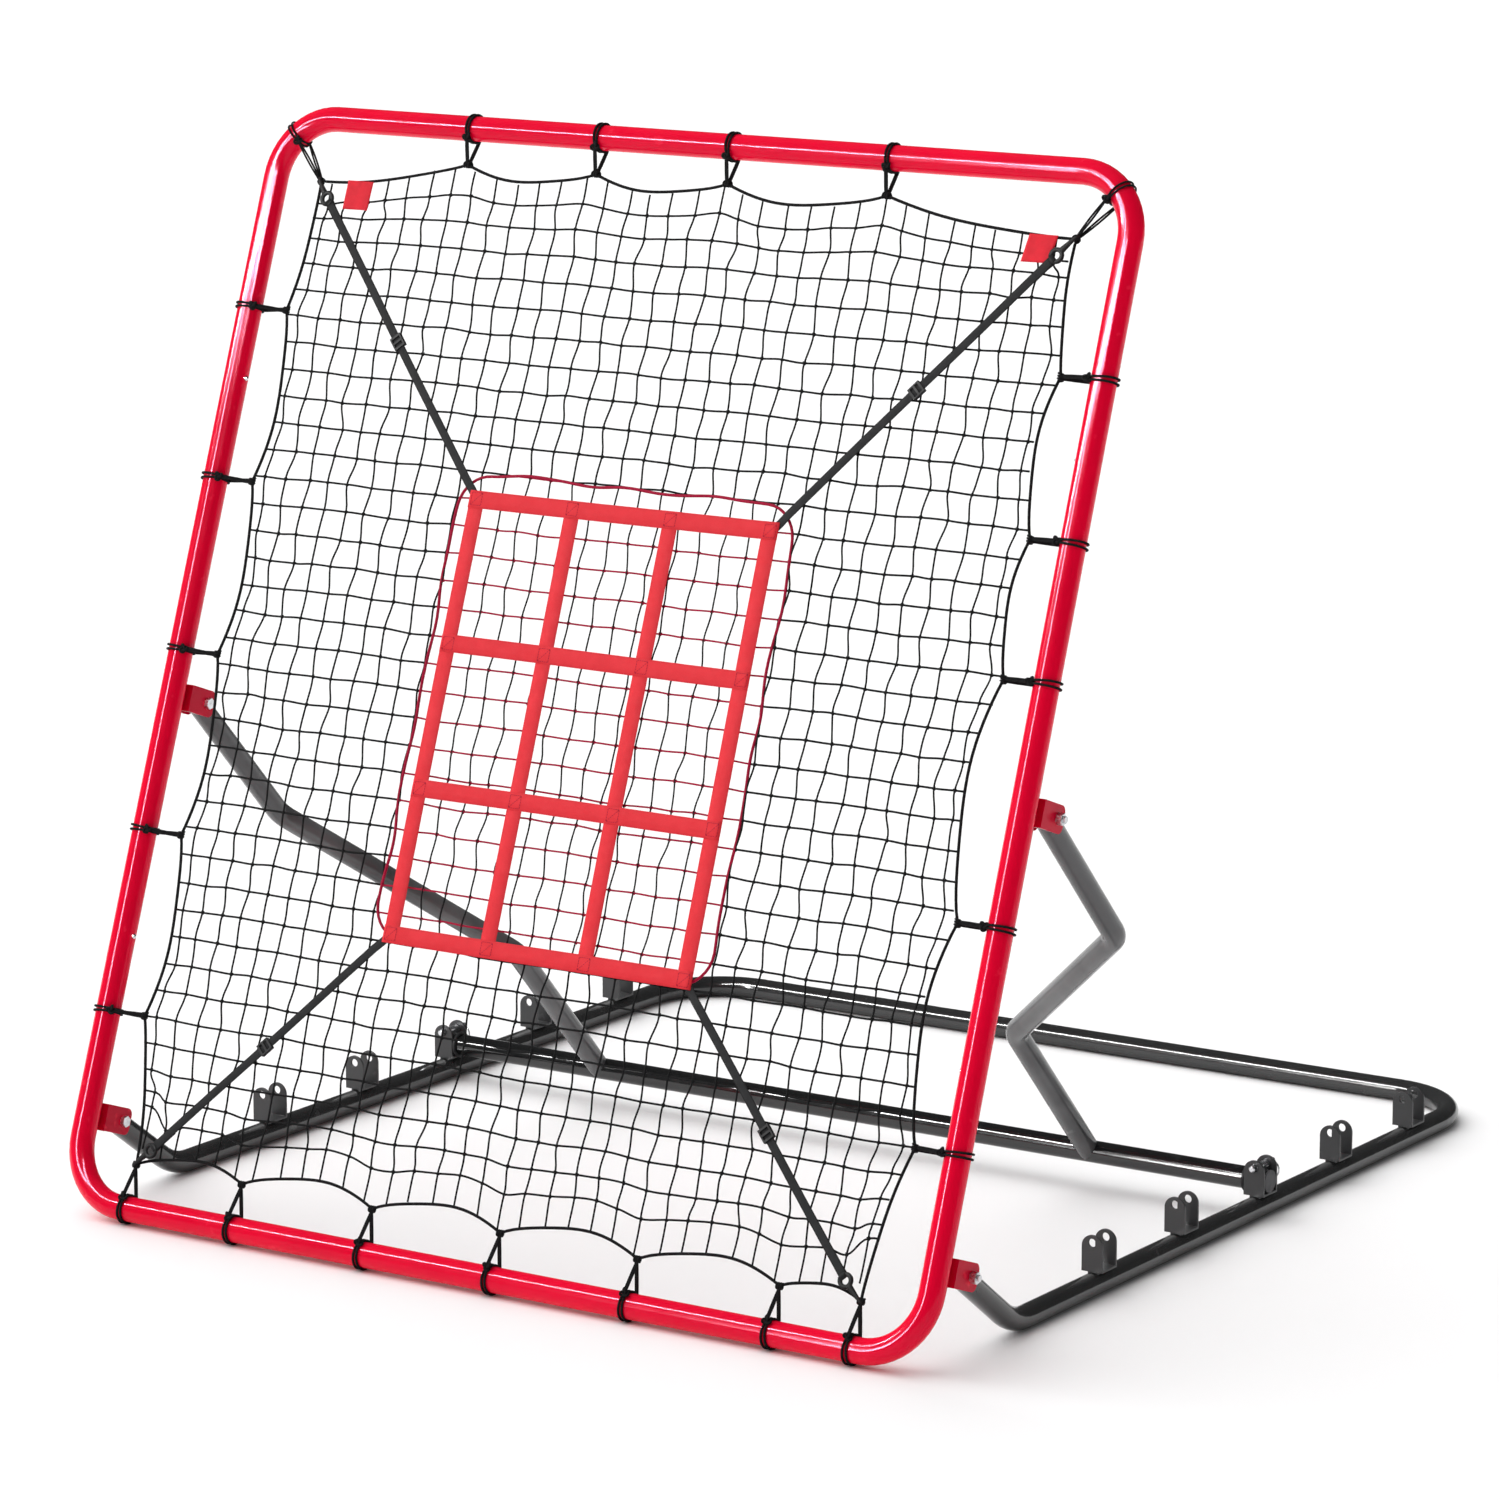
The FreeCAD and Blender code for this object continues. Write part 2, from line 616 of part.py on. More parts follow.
def tie_points(inset):
    """The net's edge at each tie, clockwise from the upper left corner."""
    left = NET_LEFT + inset
    right = NET_RIGHT - inset
    top = NET_TOP - inset
    foot = NET_FOOT + inset
    in_x, in_z = UPPER_CORNER
    points = [Vector(left + in_x, 0, top - in_z)]
    points += [Vector(x, 0, top) for x in TIES_TOP]
    points += [Vector(right - in_x, 0, top - in_z)]
    points += [Vector(right, 0, z) for z in TIES_RIGHT]
    points += [Vector(right - LOWER_CORNER, 0, foot)]
    points += [Vector(x, 0, foot) for x in reversed(TIES_BOTTOM)]
    points += [Vector(left + LOWER_CORNER, 0, foot)]
    points += [Vector(left, 0, z) for z in reversed(TIES_LEFT)]
    return points


def scalloped(inset):
    """The net's outline: an arc from tie to tie, each sagging inwards."""
    sag_share = 0.09
    middle = Vector(0, 0, (NET_TOP + NET_FOOT) / 2)
    points = tie_points(inset)
    arcs = []
    for start, end in zip(points, points[1:] + points[:1]):
        along = end - start
        inward = Vector(along.z, 0, -along.x).normalize()
        if inward.dot(middle - start) < 0:
            inward = inward * -1
        low = (start + end) / 2 + inward * along.Length * sag_share
        arcs.append(Part.Arc(start, low, end).toShape())
    return Part.Wire(arcs)


def slab(wires, front, back):
    """A flat face, first wire less the others, from front to back of the net."""
    face = Part.Face(wires[0])
    for hole in wires[1:]:
        face = face.cut(Part.Face(hole))
    lifted = face.translated(Vector(0, front, 0))
    return lifted.extrude(Vector(0, back - front, 0))


def net_pieces():
    half_rope = size("rope_wide") / 2
    half_net = size("net_thick") / 2
    window = zone_outline(ZONE_ROPE + ROOM)
    net = slab([scalloped(half_rope + ROOM), window], -half_net, half_net)
    fixed_shape("net", net, LEANING)
    rope = slab([scalloped(-half_rope), scalloped(half_rope)], -half_rope, half_rope)
    fixed_shape("net_border_rope", rope, LEANING)


TIE_BAND = 6.0      # two turns of cord side by side
TIE_THICK = 2.0
TIE_CLEAR = 0.2     # between a tie's band and the tube's paint
TIE_KNOT_R = 4.0
TIE_KNOT_IN = 7.0   # the knots sit towards the net from the tubes' middles
TIE_STRAND_R = 1.6


def tie_loop(edge, onto, outward):
    """A cord band round a tube, a knot in front and a strand to the net's edge."""
    band_r = FRAME_R + TIE_CLEAR
    outer_r = band_r + TIE_THICK
    along = outward.cross(Vector(0, 1, 0))
    start = onto - along * TIE_BAND / 2
    outer = Part.makeCylinder(outer_r, TIE_BAND, start, along)
    band = outer.cut(Part.makeCylinder(band_r, TIE_BAND, start, along))
    knot = Part.makeSphere(TIE_KNOT_R, onto - Vector(0, outer_r + 1, 0) - outward * TIE_KNOT_IN)
    strand_end = edge + outward * (size("rope_wide") / 2 + 1)
    reach = (onto - outward * (band_r + TIE_THICK / 2)) - strand_end
    strand = Part.makeCylinder(TIE_STRAND_R, reach.Length, strand_end, reach)
    return band.fuse(knot).fuse(strand)


def tie_loops():
    """Ties grouped by the tube they are on; the corner ties go with the bars."""
    top = size("frame_height")
    points = tie_points(0)
    n_top = len(TIES_TOP)
    n_right = len(TIES_RIGHT)
    n_bottom = len(TIES_BOTTOM)
    groups = {"top": points[:n_top + 2],
              "right": points[n_top + 2:n_top + 2 + n_right],
              "bottom": points[n_top + 2 + n_right:n_top + 4 + n_right + n_bottom],
              "left": points[n_top + 4 + n_right + n_bottom:]}
    tubes = {"top": lambda p: (Vector(p.x, 0, top), Vector(0, 0, 1)),
             "bottom": lambda p: (Vector(p.x, 0, 0), Vector(0, 0, -1)),
             "left": lambda p: (Vector(-HALF, 0, p.z), Vector(-1, 0, 0)),
             "right": lambda p: (Vector(HALF, 0, p.z), Vector(1, 0, 0))}
    bend = size("frame_corner")
    for name, group in groups.items():
        shapes = []
        for point in group:
            onto, outward = tubes[name](point)
            if name == "top" and point in (group[0], group[-1]):
                outward = Vector(math.copysign(1, point.x), 0, 1).normalize()
                centre = Vector(math.copysign(HALF - bend, point.x), 0, top - bend)
                onto = centre + outward * bend
            shapes.append(tie_loop(point, onto, outward))
        fixed_shape(f"tie_loops_{name}", solids(shapes), LEANING)


# ---------------------------------------------------------------- strike zone
ZONE_FRONT = -7.0   # front of the webbing, ahead of the net's middle
ZONE_TOP = size("zone_foot") + size("zone_height")


def strike_zone_grid():
    """Three by three grid of webbing, sewn where the straps cross."""
    body = new_body("strike_zone_grid", LEANING)
    wide = size("zone_width")
    foot = size("zone_foot")
    band = size("webbing")
    face = new_sketch(body, "Grid", "XZ_Plane", Placement(Vector(0, 0, -ZONE_FRONT), Rotation()))
    outline(face, [(-wide / 2, foot), (wide / 2, foot), (wide / 2, ZONE_TOP), (-wide / 2, ZONE_TOP)])
    pad(body, face, size("webbing_thick"), "Sizes.webbing_thick", reverse=True)
    cell_w = (wide - 4 * band) / 3
    cell_h = (size("zone_height") - 4 * band) / 3
    cells = new_sketch(body, "Cells", "XZ_Plane", Placement(Vector(0, 0, -ZONE_FRONT), Rotation()))
    for column in range(3):
        for row in range(3):
            x = -wide / 2 + band + column * (cell_w + band)
            z = foot + band + row * (cell_h + band)
            outline(cells, [(x, z), (x + cell_w, z), (x + cell_w, z + cell_h), (x, z + cell_h)])
    through_cut(body, cells)


def rounded_rectangle(half_wide, low, high, radius):
    """A closed wire in the net's plane."""
    corners = [Vector(-half_wide, 0, low), Vector(half_wide, 0, low),
               Vector(half_wide, 0, high), Vector(-half_wide, 0, high)]
    middle = (corners[0] + corners[1]) / 2
    path = rounded_path([middle] + corners[1:] + [corners[0], middle], radius)
    return Part.Wire([edge.toShape() for edge in path])


ZONE_ROPE = 4.0     # rope round the zone's own panel of net
PANEL_SIDE = 18.0   # the panel stands out this far beside the grid
PANEL_TOP = 20.0    # and above it
PANEL_TUCK = 10.0   # its lower edge lies behind the lowest webbing
PANEL_CORNER = 40.0


def zone_outline(outset):
    """The edge of the zone's net panel, which shows beside and above the grid."""
    return rounded_rectangle(size("zone_width") / 2 + PANEL_SIDE + outset,
                             size("zone_foot") + PANEL_TUCK - outset,
                             ZONE_TOP + PANEL_TOP + outset, PANEL_CORNER + outset)


def zone_backing():
    """The red net panel let into the net behind the grid, and the rope round it."""
    half_net = size("net_thick") / 2
    half_rope = ZONE_ROPE / 2
    rope = slab([zone_outline(ZONE_ROPE), zone_outline(0)], -half_rope, half_rope)
    fixed_shape("zone_rope", rope, LEANING)
    fixed_shape("zone_net", slab([zone_outline(-ROOM)], -half_net, half_net), LEANING)


HOOK_EYES = {"upper": (534, 1294), "lower": (512, 76)}     # on the right side


def strap_ends():
    """Each corner strap: from the grid's corner to the eye of its hook."""
    wide = size("zone_width") / 2
    grid = {"upper": ZONE_TOP, "lower": size("zone_foot")}
    ends = []
    for height, z in grid.items():
        eye_x, eye_z = HOOK_EYES[height]
        for name, side in SIDES:
            corner = Vector(side * wide, 0, z)
            away = Vector(side * eye_x, 0, eye_z) - corner
            length = away.Length
            ends.append((f"{height}_{name}", corner, away / length, length))
    return ends


SLIDER_LONG = 18.0
SLIDER_SHARE = 0.5  # sliders sit about half way along their straps
SLIDER_WALL = 2.0
SLIDER_BAR = 3.0
SLIDER_SKIN = 1.4   # the bars' thickness, before and behind the strap
EYE_R = 9.5         # outside of the hook's eye
EYE_HOLE_R = 4.0
HOOK_THICK = 3.0


def across_strap(corner, along, start, long, wide, front, back):
    """A plate centred on a strap: start and long are measured along it."""
    plate = Part.makeBox(wide, back - front, long, Vector(-wide / 2, front, 0))
    turn = math.degrees(math.atan2(along.x, along.z))
    plate.Placement = Placement(corner + along * start, Rotation(Vector(0, 1, 0), turn))
    return plate


def corner_strap(name, corner, along, length):
    """Flat strap from just off the grid to the rim of its hook."""
    band = size("webbing_thick")
    strap = across_strap(corner, along, 1, length - EYE_R - 2,
                         size("strap_wide"), ZONE_FRONT, ZONE_FRONT + band)
    fixed_shape(f"corner_strap_{name}", strap, LEANING)


def strap_slider(name, corner, along, length):
    """Three-bar slider: one bar before the strap, two behind, walls outside."""
    slot_wide = size("strap_wide") + 1
    bar = SLIDER_BAR
    start = SLIDER_SHARE * length - SLIDER_LONG / 2
    front = ZONE_FRONT - ROOM
    back = ZONE_FRONT + size("webbing_thick") + ROOM
    block = across_strap(corner, along, start, SLIDER_LONG, slot_wide + 2 * SLIDER_WALL,
                         front - SLIDER_SKIN, back + SLIDER_SKIN)
    slot = across_strap(corner, along, start - 1, SLIDER_LONG + 2, slot_wide, front, back)
    slider = block.cut(slot)
    window = (SLIDER_LONG - 3 * bar) / 2
    for shift in (bar, 2 * bar + window):
        opening = across_strap(corner, along, start + shift, window, slot_wide, front - 3, front + 0.1)
        slider = slider.cut(opening)
    rear = across_strap(corner, along, start + bar, SLIDER_LONG - 2 * bar, slot_wide,
                        back - 0.1, back + 3)
    fixed_shape(f"strap_slider_{name}", slider.cut(rear), LEANING)


def corner_hooks():
    """Teardrop plates: the eye holds the strap, the tip hooks the net's corner."""
    hooks = []
    knots = {"upper": Vector(NET_RIGHT - UPPER_CORNER[0], 0, NET_TOP - UPPER_CORNER[1]),
             "lower": Vector(NET_RIGHT - LOWER_CORNER, 0, NET_FOOT)}
    for name, corner, along, length in strap_ends():
        eye = corner + along * length
        knot = knots[name.split("_")[0]]
        tip = Vector(math.copysign(knot.x, corner.x), 0, knot.z)
        reach = tip - eye
        toward = reach / reach.Length
        across = toward.cross(Vector(0, 1, 0))
        touch = EYE_R / reach.Length
        side = across * EYE_R * math.sqrt(1 - touch ** 2)
        near = eye + toward * EYE_R * touch
        wire = Part.Wire([Part.makeLine(tip, near + side),
                          Part.Arc(near + side, eye - toward * EYE_R, near - side).toShape(),
                          Part.makeLine(near - side, tip)])
        hole = Part.Wire(Part.makeCircle(EYE_HOLE_R, eye, Vector(0, 1, 0)))
        front = ZONE_FRONT - 0.4
        hooks.append(slab([wire, hole], front, front + HOOK_THICK))
    fixed_shape("corner_hooks", solids(hooks), LEANING)


TAB_WIDE = 40.0
TAB_TALL = 34.0
TAB_THICK = 1.6
TAB_FRONT = -4.2    # clear of the border rope
TAB_MIDDLES = ((-489, 1303), (508, 1302))


def net_tabs():
    """Two cloth tabs sewn to the front of the net's top corners."""
    tabs = []
    for x, z in TAB_MIDDLES:
        corner = Vector(x - TAB_WIDE / 2, TAB_FRONT, z - TAB_TALL / 2)
        tabs.append(Part.makeBox(TAB_WIDE, TAB_THICK, TAB_TALL, corner))
    fixed_shape("net_tabs", solids(tabs), LEANING)


# ---------------------------------------------------------------- assembly
def build():
    base_tube()
    for side_name, side in SIDES:
        for number in range(5):
            y = size("cradle_first") + number * size("cradle_pitch")
            cradle(f"cradle_{side_name}_{number + 1}", side * HALF, y)
        ring_y = lock_pin(f"lock_pin_{side_name}", side * HALF)
        pull_ring(f"pull_ring_{side_name}", side * HALF, ring_y)
        crossbar_cap(f"crossbar_cap_{side_name}", side)
        crossbar_collar(f"crossbar_collar_{side_name}", side)
        prop_leg(f"prop_leg_{side_name}", side)
        side_tube(f"side_tube_{side_name}", side)
        for name, height in snap_heights():
            snap_button(f"snap_button_{name}_{side_name}", side, height)
        for name in ("low", "high"):
            level = {"low": "lower", "high": "upper"}[name]
            hinge_bracket(f"hinge_bracket_{level}_{side_name}", side, size(f"hinge_{name}"))
    crossbar()
    upper = frame_hoop("frame_top_hoop", size("frame_height"), size("seam_high"))
    lower = frame_hoop("frame_bottom_hoop", 0, size("seam_low"))
    heights = dict(snap_heights())
    button_holes(upper, heights["upper"], FRAME_R)
    button_holes(lower, heights["lower"], FRAME_R)
    snap_springs()
    hinge_fasteners("lower", size("hinge_low"))
    hinge_fasteners("upper", size("hinge_high"))
    net_pieces()
    tie_loops()
    strike_zone_grid()
    zone_backing()
    for name, corner, along, length in strap_ends():
        corner_strap(name, corner, along, length)
        strap_slider(name, corner, along, length)
    corner_hooks()
    net_tabs()


def check_and_export():
    doc.recompute()
    for obj in doc.Objects:
        if "Invalid" in obj.State or "Error" in obj.State:
            raise RuntimeError(f"{obj.Label} failed: {obj.State}")
    os.makedirs("parts", exist_ok=True)
    for part in parts:
        if part.Shape.isNull() or not part.Shape.isValid():
            raise RuntimeError(f"{part.Label} has no valid shape")
        if not part.Shape.Solids:
            raise RuntimeError(f"{part.Label} has no solid")
        part.Shape.exportStep(os.path.join("parts", f"{part.Label}.step"))
        box = part.Shape.BoundBox
        print(f"{part.Label:28s} {len(part.Shape.Solids):3d} solids {part.Shape.Volume:12.1f} mm3  "
              f"x {box.XMin:8.1f} {box.XMax:8.1f}  y {box.YMin:8.1f} {box.YMax:8.1f}  "
              f"z {box.ZMin:8.1f} {box.ZMax:8.1f}")
    print(len(parts), "nodes")


build()
check_and_export()
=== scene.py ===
import itertools
import json
import math
import random

import bpy
import numpy as np
from mathutils import Matrix, Vector


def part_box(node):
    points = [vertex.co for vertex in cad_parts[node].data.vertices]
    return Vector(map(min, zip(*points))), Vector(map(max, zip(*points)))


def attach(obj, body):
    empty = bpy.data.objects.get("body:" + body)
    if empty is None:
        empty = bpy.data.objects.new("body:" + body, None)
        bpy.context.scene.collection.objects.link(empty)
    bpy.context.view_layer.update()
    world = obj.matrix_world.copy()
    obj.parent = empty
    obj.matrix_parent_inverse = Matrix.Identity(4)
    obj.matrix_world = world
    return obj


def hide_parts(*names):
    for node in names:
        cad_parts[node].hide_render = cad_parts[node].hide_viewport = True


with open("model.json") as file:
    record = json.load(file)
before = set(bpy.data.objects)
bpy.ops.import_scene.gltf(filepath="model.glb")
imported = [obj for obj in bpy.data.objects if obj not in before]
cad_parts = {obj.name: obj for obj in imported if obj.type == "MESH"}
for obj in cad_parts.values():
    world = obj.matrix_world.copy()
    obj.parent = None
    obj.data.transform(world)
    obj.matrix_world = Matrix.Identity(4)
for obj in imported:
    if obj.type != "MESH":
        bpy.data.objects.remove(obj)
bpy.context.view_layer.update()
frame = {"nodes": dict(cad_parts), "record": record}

# Looks of the pitching target net, in metres, in the CAD model's own frame: +Z up,
# the target faces -Y. What is strung in the leaning frame is worked out in that
# frame's own axes: x along the bottom bar, b behind the net, s up the side tubes.

NODES = frame["nodes"]
MM = 0.001
TURN = 2 * math.pi


# ---------------------------------------------------------------- places
LEAN = math.radians(20)
SIDE_LOW, SIDE_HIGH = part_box("side_tube_right")
TUBE_R = (SIDE_HIGH.x - SIDE_LOW.x) / 2
HALF = (SIDE_HIGH.x + SIDE_LOW.x) / 2       # middle of the frame to a side tube's axis
HOOP_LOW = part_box("frame_bottom_hoop")[0]
FOOT = Vector((0, HOOP_LOW.y + TUBE_R, HOOP_LOW.z + TUBE_R))
TALL = 1398 * MM            # between the axes of the bottom and top bars
BEND = 80 * MM              # radius of the frame's corners
LEANING = Matrix.Translation(FOOT) @ Matrix.Rotation(-LEAN, 4, "X")
FRONT = Vector((0, -1, 0))
CARRIER = "target_frame"    # body that everything strung here rides on


def from_record(node):
    """The record's row for a node, which names its material slot."""
    return next(p for p in frame["record"]["subparts"] if p["node"] == node)


def leaning_corners(node):
    """Lowest and highest corners of a CAD node, in the leaning frame's axes."""
    back = LEANING.inverted()
    points = np.array([back @ v.co for v in NODES[node].data.vertices])
    return Vector(points.min(0)), Vector(points.max(0))


# ---------------------------------------------------------------- camera, lights, floor
CAMERA_YAW, CAMERA_PITCH = math.radians(33.42), math.radians(11.62)
CAMERA_DISTANCE = 7.371
CAMERA_AIM = Vector((0.1956, -0.400, 0.6328))
CAMERA_SENSOR, CAMERA_LENS = 36, 147.5      # mm
CAMERA_REACH, FLOOR_REACH = 200, 60
# the room's white light: from where it is strongest, and its strength there and elsewhere
BRIGHT_SIDE = Vector((-0.70, 0.0, 0.68))
FADE_FROM, DIM, BRIGHT = 0.40, 0.23, 2.95
MIRRORED, SEEN = 0.06, 1.0


def photographed_from():
    """A long lens, from the front right and a little above."""
    yaw, pitch = CAMERA_YAW, CAMERA_PITCH
    looking = Vector((-math.sin(yaw) * math.cos(pitch), math.cos(yaw) * math.cos(pitch),
                      -math.sin(pitch)))
    data = bpy.data.cameras.new("camera")
    data.sensor_width = CAMERA_SENSOR
    data.lens = CAMERA_LENS
    data.clip_end = CAMERA_REACH
    camera = bpy.data.objects.new("camera", data)
    camera.location = CAMERA_AIM - looking * CAMERA_DISTANCE
    camera.rotation_mode = "QUATERNION"
    camera.rotation_quaternion = looking.to_track_quat("-Z", "Y")
    bpy.context.scene.collection.objects.link(camera)
    bpy.context.scene.camera = camera


def strip_light(name, place, aim, wide, tall, power):
    """A long soft box that shows only as a highlight in gloss."""
    data = bpy.data.lights.new(name, "AREA")
    data.shape = "RECTANGLE"
    data.size, data.size_y = wide, tall
    data.energy = power
    lamp = bpy.data.objects.new(name, data)
    lamp.location = place
    lamp.rotation_mode = "QUATERNION"
    lamp.rotation_quaternion = (Vector(aim) - Vector(place)).to_track_quat("-Z", "Y")
    lamp.visible_camera = False
    lamp.visible_diffuse = False
    bpy.context.scene.collection.objects.link(lamp)


def surroundings():
    """White room, brighter from the upper left, and dim where it is mirrored in gloss."""
    world = bpy.data.worlds.new("studio")
    bpy.context.scene.world = world
    world.use_nodes = True
    tree = world.node_tree
    sky = tree.nodes["Background"]
    sky.inputs["Color"].default_value = (1, 1, 1, 1)
    where = tree.nodes.new("ShaderNodeTexCoord")
    toward = tree.nodes.new("ShaderNodeVectorMath")
    toward.operation = "DOT_PRODUCT"
    toward.inputs[1].default_value = BRIGHT_SIDE.normalized()
    tree.links.new(where.outputs["Generated"], toward.inputs[0])
    light = tree.nodes.new("ShaderNodeMapRange")
    for key, value in {"From Min": FADE_FROM, "From Max": 1.0,
                       "To Min": DIM, "To Max": BRIGHT}.items():
        light.inputs[key].default_value = value
    tree.links.new(toward.outputs["Value"], light.inputs["Value"])
    path = tree.nodes.new("ShaderNodeLightPath")
    strength = light.outputs[0]
    for ray, value in (("Is Glossy Ray", MIRRORED), ("Is Camera Ray", SEEN)):
        mix = tree.nodes.new("ShaderNodeMix")
        tree.links.new(path.outputs[ray], mix.inputs[0])
        tree.links.new(strength, mix.inputs[2])
        mix.inputs[3].default_value = value
        strength = mix.outputs[0]
    tree.links.new(strength, sky.inputs["Strength"])


def studio():
    """White floor, white surroundings and strip lights."""
    surroundings()
    strip_light("front_strip", (-1.9, -4.8, 2.9), (0, 0, 0.6), 0.6, 4.2, 620)
    strip_light("level_strip", (-1.4, -1.95, 2.15), (-1.4, -0.4, 0.5), 4.4, 0.20, 318)
    mesh = bpy.data.meshes.new("floor")
    far = FLOOR_REACH
    mesh.from_pydata([(-far, -far, 0), (far, -far, 0), (far, far, 0), (-far, far, 0)], [],
                     [(0, 1, 2, 3)])
    floor = bpy.data.objects.new("floor", mesh)
    bpy.context.scene.collection.objects.link(floor)
    look = Look("floor_paper", (0.96, 0.96, 0.962), 0.9, specular=0.0)
    look.mottle(look.coordinates("Object"), scale=0.7, share=0.002)
    mesh.materials.append(look.material)
    bpy.context.scene.view_settings.view_transform = "Standard"


# ---------------------------------------------------------------- materials
class Look:
    """A node material built up step by step round one Principled shader."""

    def __init__(self, name, colour, roughness, metallic=0.0, specular=0.5):
        self.material = bpy.data.materials.new(name)
        self.material.use_nodes = True
        self.tree = self.material.node_tree
        self.shader = self.tree.nodes["Principled BSDF"]
        self.colour = colour
        self.roughness = roughness
        self.shader.inputs["Base Color"].default_value = (*colour, 1)
        self.shader.inputs["Roughness"].default_value = roughness
        self.shader.inputs["Metallic"].default_value = metallic
        self.shader.inputs["Specular IOR Level"].default_value = specular
        self.normal = None
        self.material.diffuse_color = (*colour, 1)

    def node(self, kind, **values):
        made = self.tree.nodes.new(kind)
        for key, value in values.items():
            setattr(made, key, value)
        return made

    def link(self, start, end):
        self.tree.links.new(start, end)

    def coordinates(self, which):
        return self.node("ShaderNodeTexCoord").outputs[which]

    def math(self, operation, first, second=None):
        made = self.node("ShaderNodeMath", operation=operation)
        for socket, value in zip(made.inputs, (first, second)):
            if value is None:
                continue
            if isinstance(value, (int, float)):
                socket.default_value = value
            else:
                self.link(value, socket)
        return made.outputs[0]

    def noise(self, where, scale, detail=3.0, stretch=None):
        if stretch:
            mapping = self.node("ShaderNodeMapping")
            mapping.inputs["Scale"].default_value = stretch
            self.link(where, mapping.inputs["Vector"])
            where = mapping.outputs[0]
        made = self.node("ShaderNodeTexNoise")
        made.inputs["Scale"].default_value = scale
        made.inputs["Detail"].default_value = detail
        self.link(where, made.inputs["Vector"])
        return made.outputs["Fac"]

    def span(self, value, low, high, out_low, out_high):
        made = self.node("ShaderNodeMapRange")
        made.inputs["From Min"].default_value = low
        made.inputs["From Max"].default_value = high
        made.inputs["To Min"].default_value = out_low
        made.inputs["To Max"].default_value = out_high
        self.link(value, made.inputs["Value"])
        return made.outputs[0]

    def mix_to(self, factor, other):
        """Mixes the colour so far with another one."""
        mix = self.node("ShaderNodeMix", data_type="RGBA")
        socket = self.shader.inputs["Base Color"]
        if socket.is_linked:
            self.link(socket.links[0].from_socket, mix.inputs[6])
        else:
            mix.inputs[6].default_value = (*self.colour, 1)
        mix.inputs[7].default_value = (*other, 1)
        self.link(factor, mix.inputs[0])
        self.link(mix.outputs[2], socket)

    def mottle(self, where, scale, share):
        """Faint lighter and darker patches."""
        darker = tuple(c * (1 - 4 * share) for c in self.colour)
        self.mix_to(self.span(self.noise(where, scale), 0.35, 0.65, 0, 1), darker)

    def uneven_gloss(self, where, scale, spread, stretch=None):
        rough = self.span(self.noise(where, scale, 4.0, stretch), 0.3, 0.7,
                          max(self.roughness - spread, 0.02), self.roughness + spread)
        self.link(rough, self.shader.inputs["Roughness"])

    def relief(self, height, depth, strength=1.0):
        bump = self.node("ShaderNodeBump")
        bump.inputs["Strength"].default_value = strength
        bump.inputs["Distance"].default_value = depth
        self.link(height, bump.inputs["Height"])
        if self.normal:
            self.link(self.normal, bump.inputs["Normal"])
        self.normal = bump.outputs[0]
        self.link(self.normal, self.shader.inputs["Normal"])

    def soft_edges(self, radius):
        """Rounded look on the edges of pressed and moulded parts."""
        bevel = self.node("ShaderNodeBevel", samples=4)
        bevel.inputs["Radius"].default_value = radius
        self.normal = bevel.outputs[0]
        self.link(self.normal, self.shader.inputs["Normal"])

    def worn(self, where, scale, threshold, colour):
        """Small rubbed spots and hairline scuffs."""
        spots = self.noise(where, scale, 8.0)
        self.mix_to(self.span(spots, threshold, threshold + 0.05, 0, 0.6), colour)

    def sheen(self, weight, roughness=0.5):
        self.shader.inputs["Sheen Weight"].default_value = weight
        self.shader.inputs["Sheen Roughness"].default_value = roughness

    def split(self, vector):
        """The x, y and z sockets of a vector."""
        made = self.node("ShaderNodeSeparateXYZ")
        self.link(vector, made.inputs[0])
        return made.outputs


def darkened(colour, share):
    return tuple(c * share for c in colour)


def lightened(colour, share, lift):
    return tuple(min(c * share + lift, 1) for c in colour)


def powder_coat(name, colour, roughness, gloss, edges=0.0, dust=0.0, below=None, tint=None):
    """Paint; an optional height and a paler colour paint everything under that height lighter, as
    painted light.
    """
    look = Look(name, colour, roughness, specular=gloss)
    where = look.coordinates("Object")
    if tint:
        look.shader.inputs["Specular Tint"].default_value = (*tint, 1)
    # painted light and shade: under the height the paint turns to the paler colour, so the lower
    # part looks lit and the upper part shaded
    if below:
        height, lit_colour = below
        look.mix_to(look.span(look.split(where)[2], height - 30 * MM, height, 1, 0), lit_colour)
    if edges:
        look.soft_edges(edges)
    look.mottle(where, scale=9, share=0.02)
    look.worn(where, scale=55, threshold=0.66, colour=lightened(colour, 1.35, 0.02))
    if dust:
        patches = look.noise(where, 4, 6.0)
        look.mix_to(look.span(patches, 0.5, 0.8, 0, dust), DUST)
    look.uneven_gloss(where, scale=30, spread=0.02)
    look.relief(look.noise(where, 420, 2.0), depth=0.03 * MM, strength=0.25)
    return look.material


def plated_steel(name, colour, roughness):
    look = Look(name, colour, roughness, metallic=1.0)
    look.soft_edges(0.4 * MM)
    where = look.coordinates("Object")
    look.mottle(where, scale=140, share=0.05)
    look.worn(where, scale=300, threshold=0.62, colour=darkened(colour, 0.6))
    look.uneven_gloss(where, scale=260, spread=0.10, stretch=(1, 1, 9))
    look.relief(look.noise(where, 900, 2.0, (1, 1, 7)), depth=0.05 * MM, strength=0.5)
    return look.material


def moulded(name, colour, roughness):
    look = Look(name, colour, roughness, specular=0.12)
    look.soft_edges(0.6 * MM)
    where = look.coordinates("Object")
    look.mottle(where, scale=60, share=0.03)
    look.worn(where, scale=160, threshold=0.64, colour=lightened(colour, 2, 0.02))
    look.uneven_gloss(where, scale=120, spread=0.08)
    look.relief(look.noise(where, 1500, 2.0), depth=0.06 * MM, strength=0.6)
    return look.material


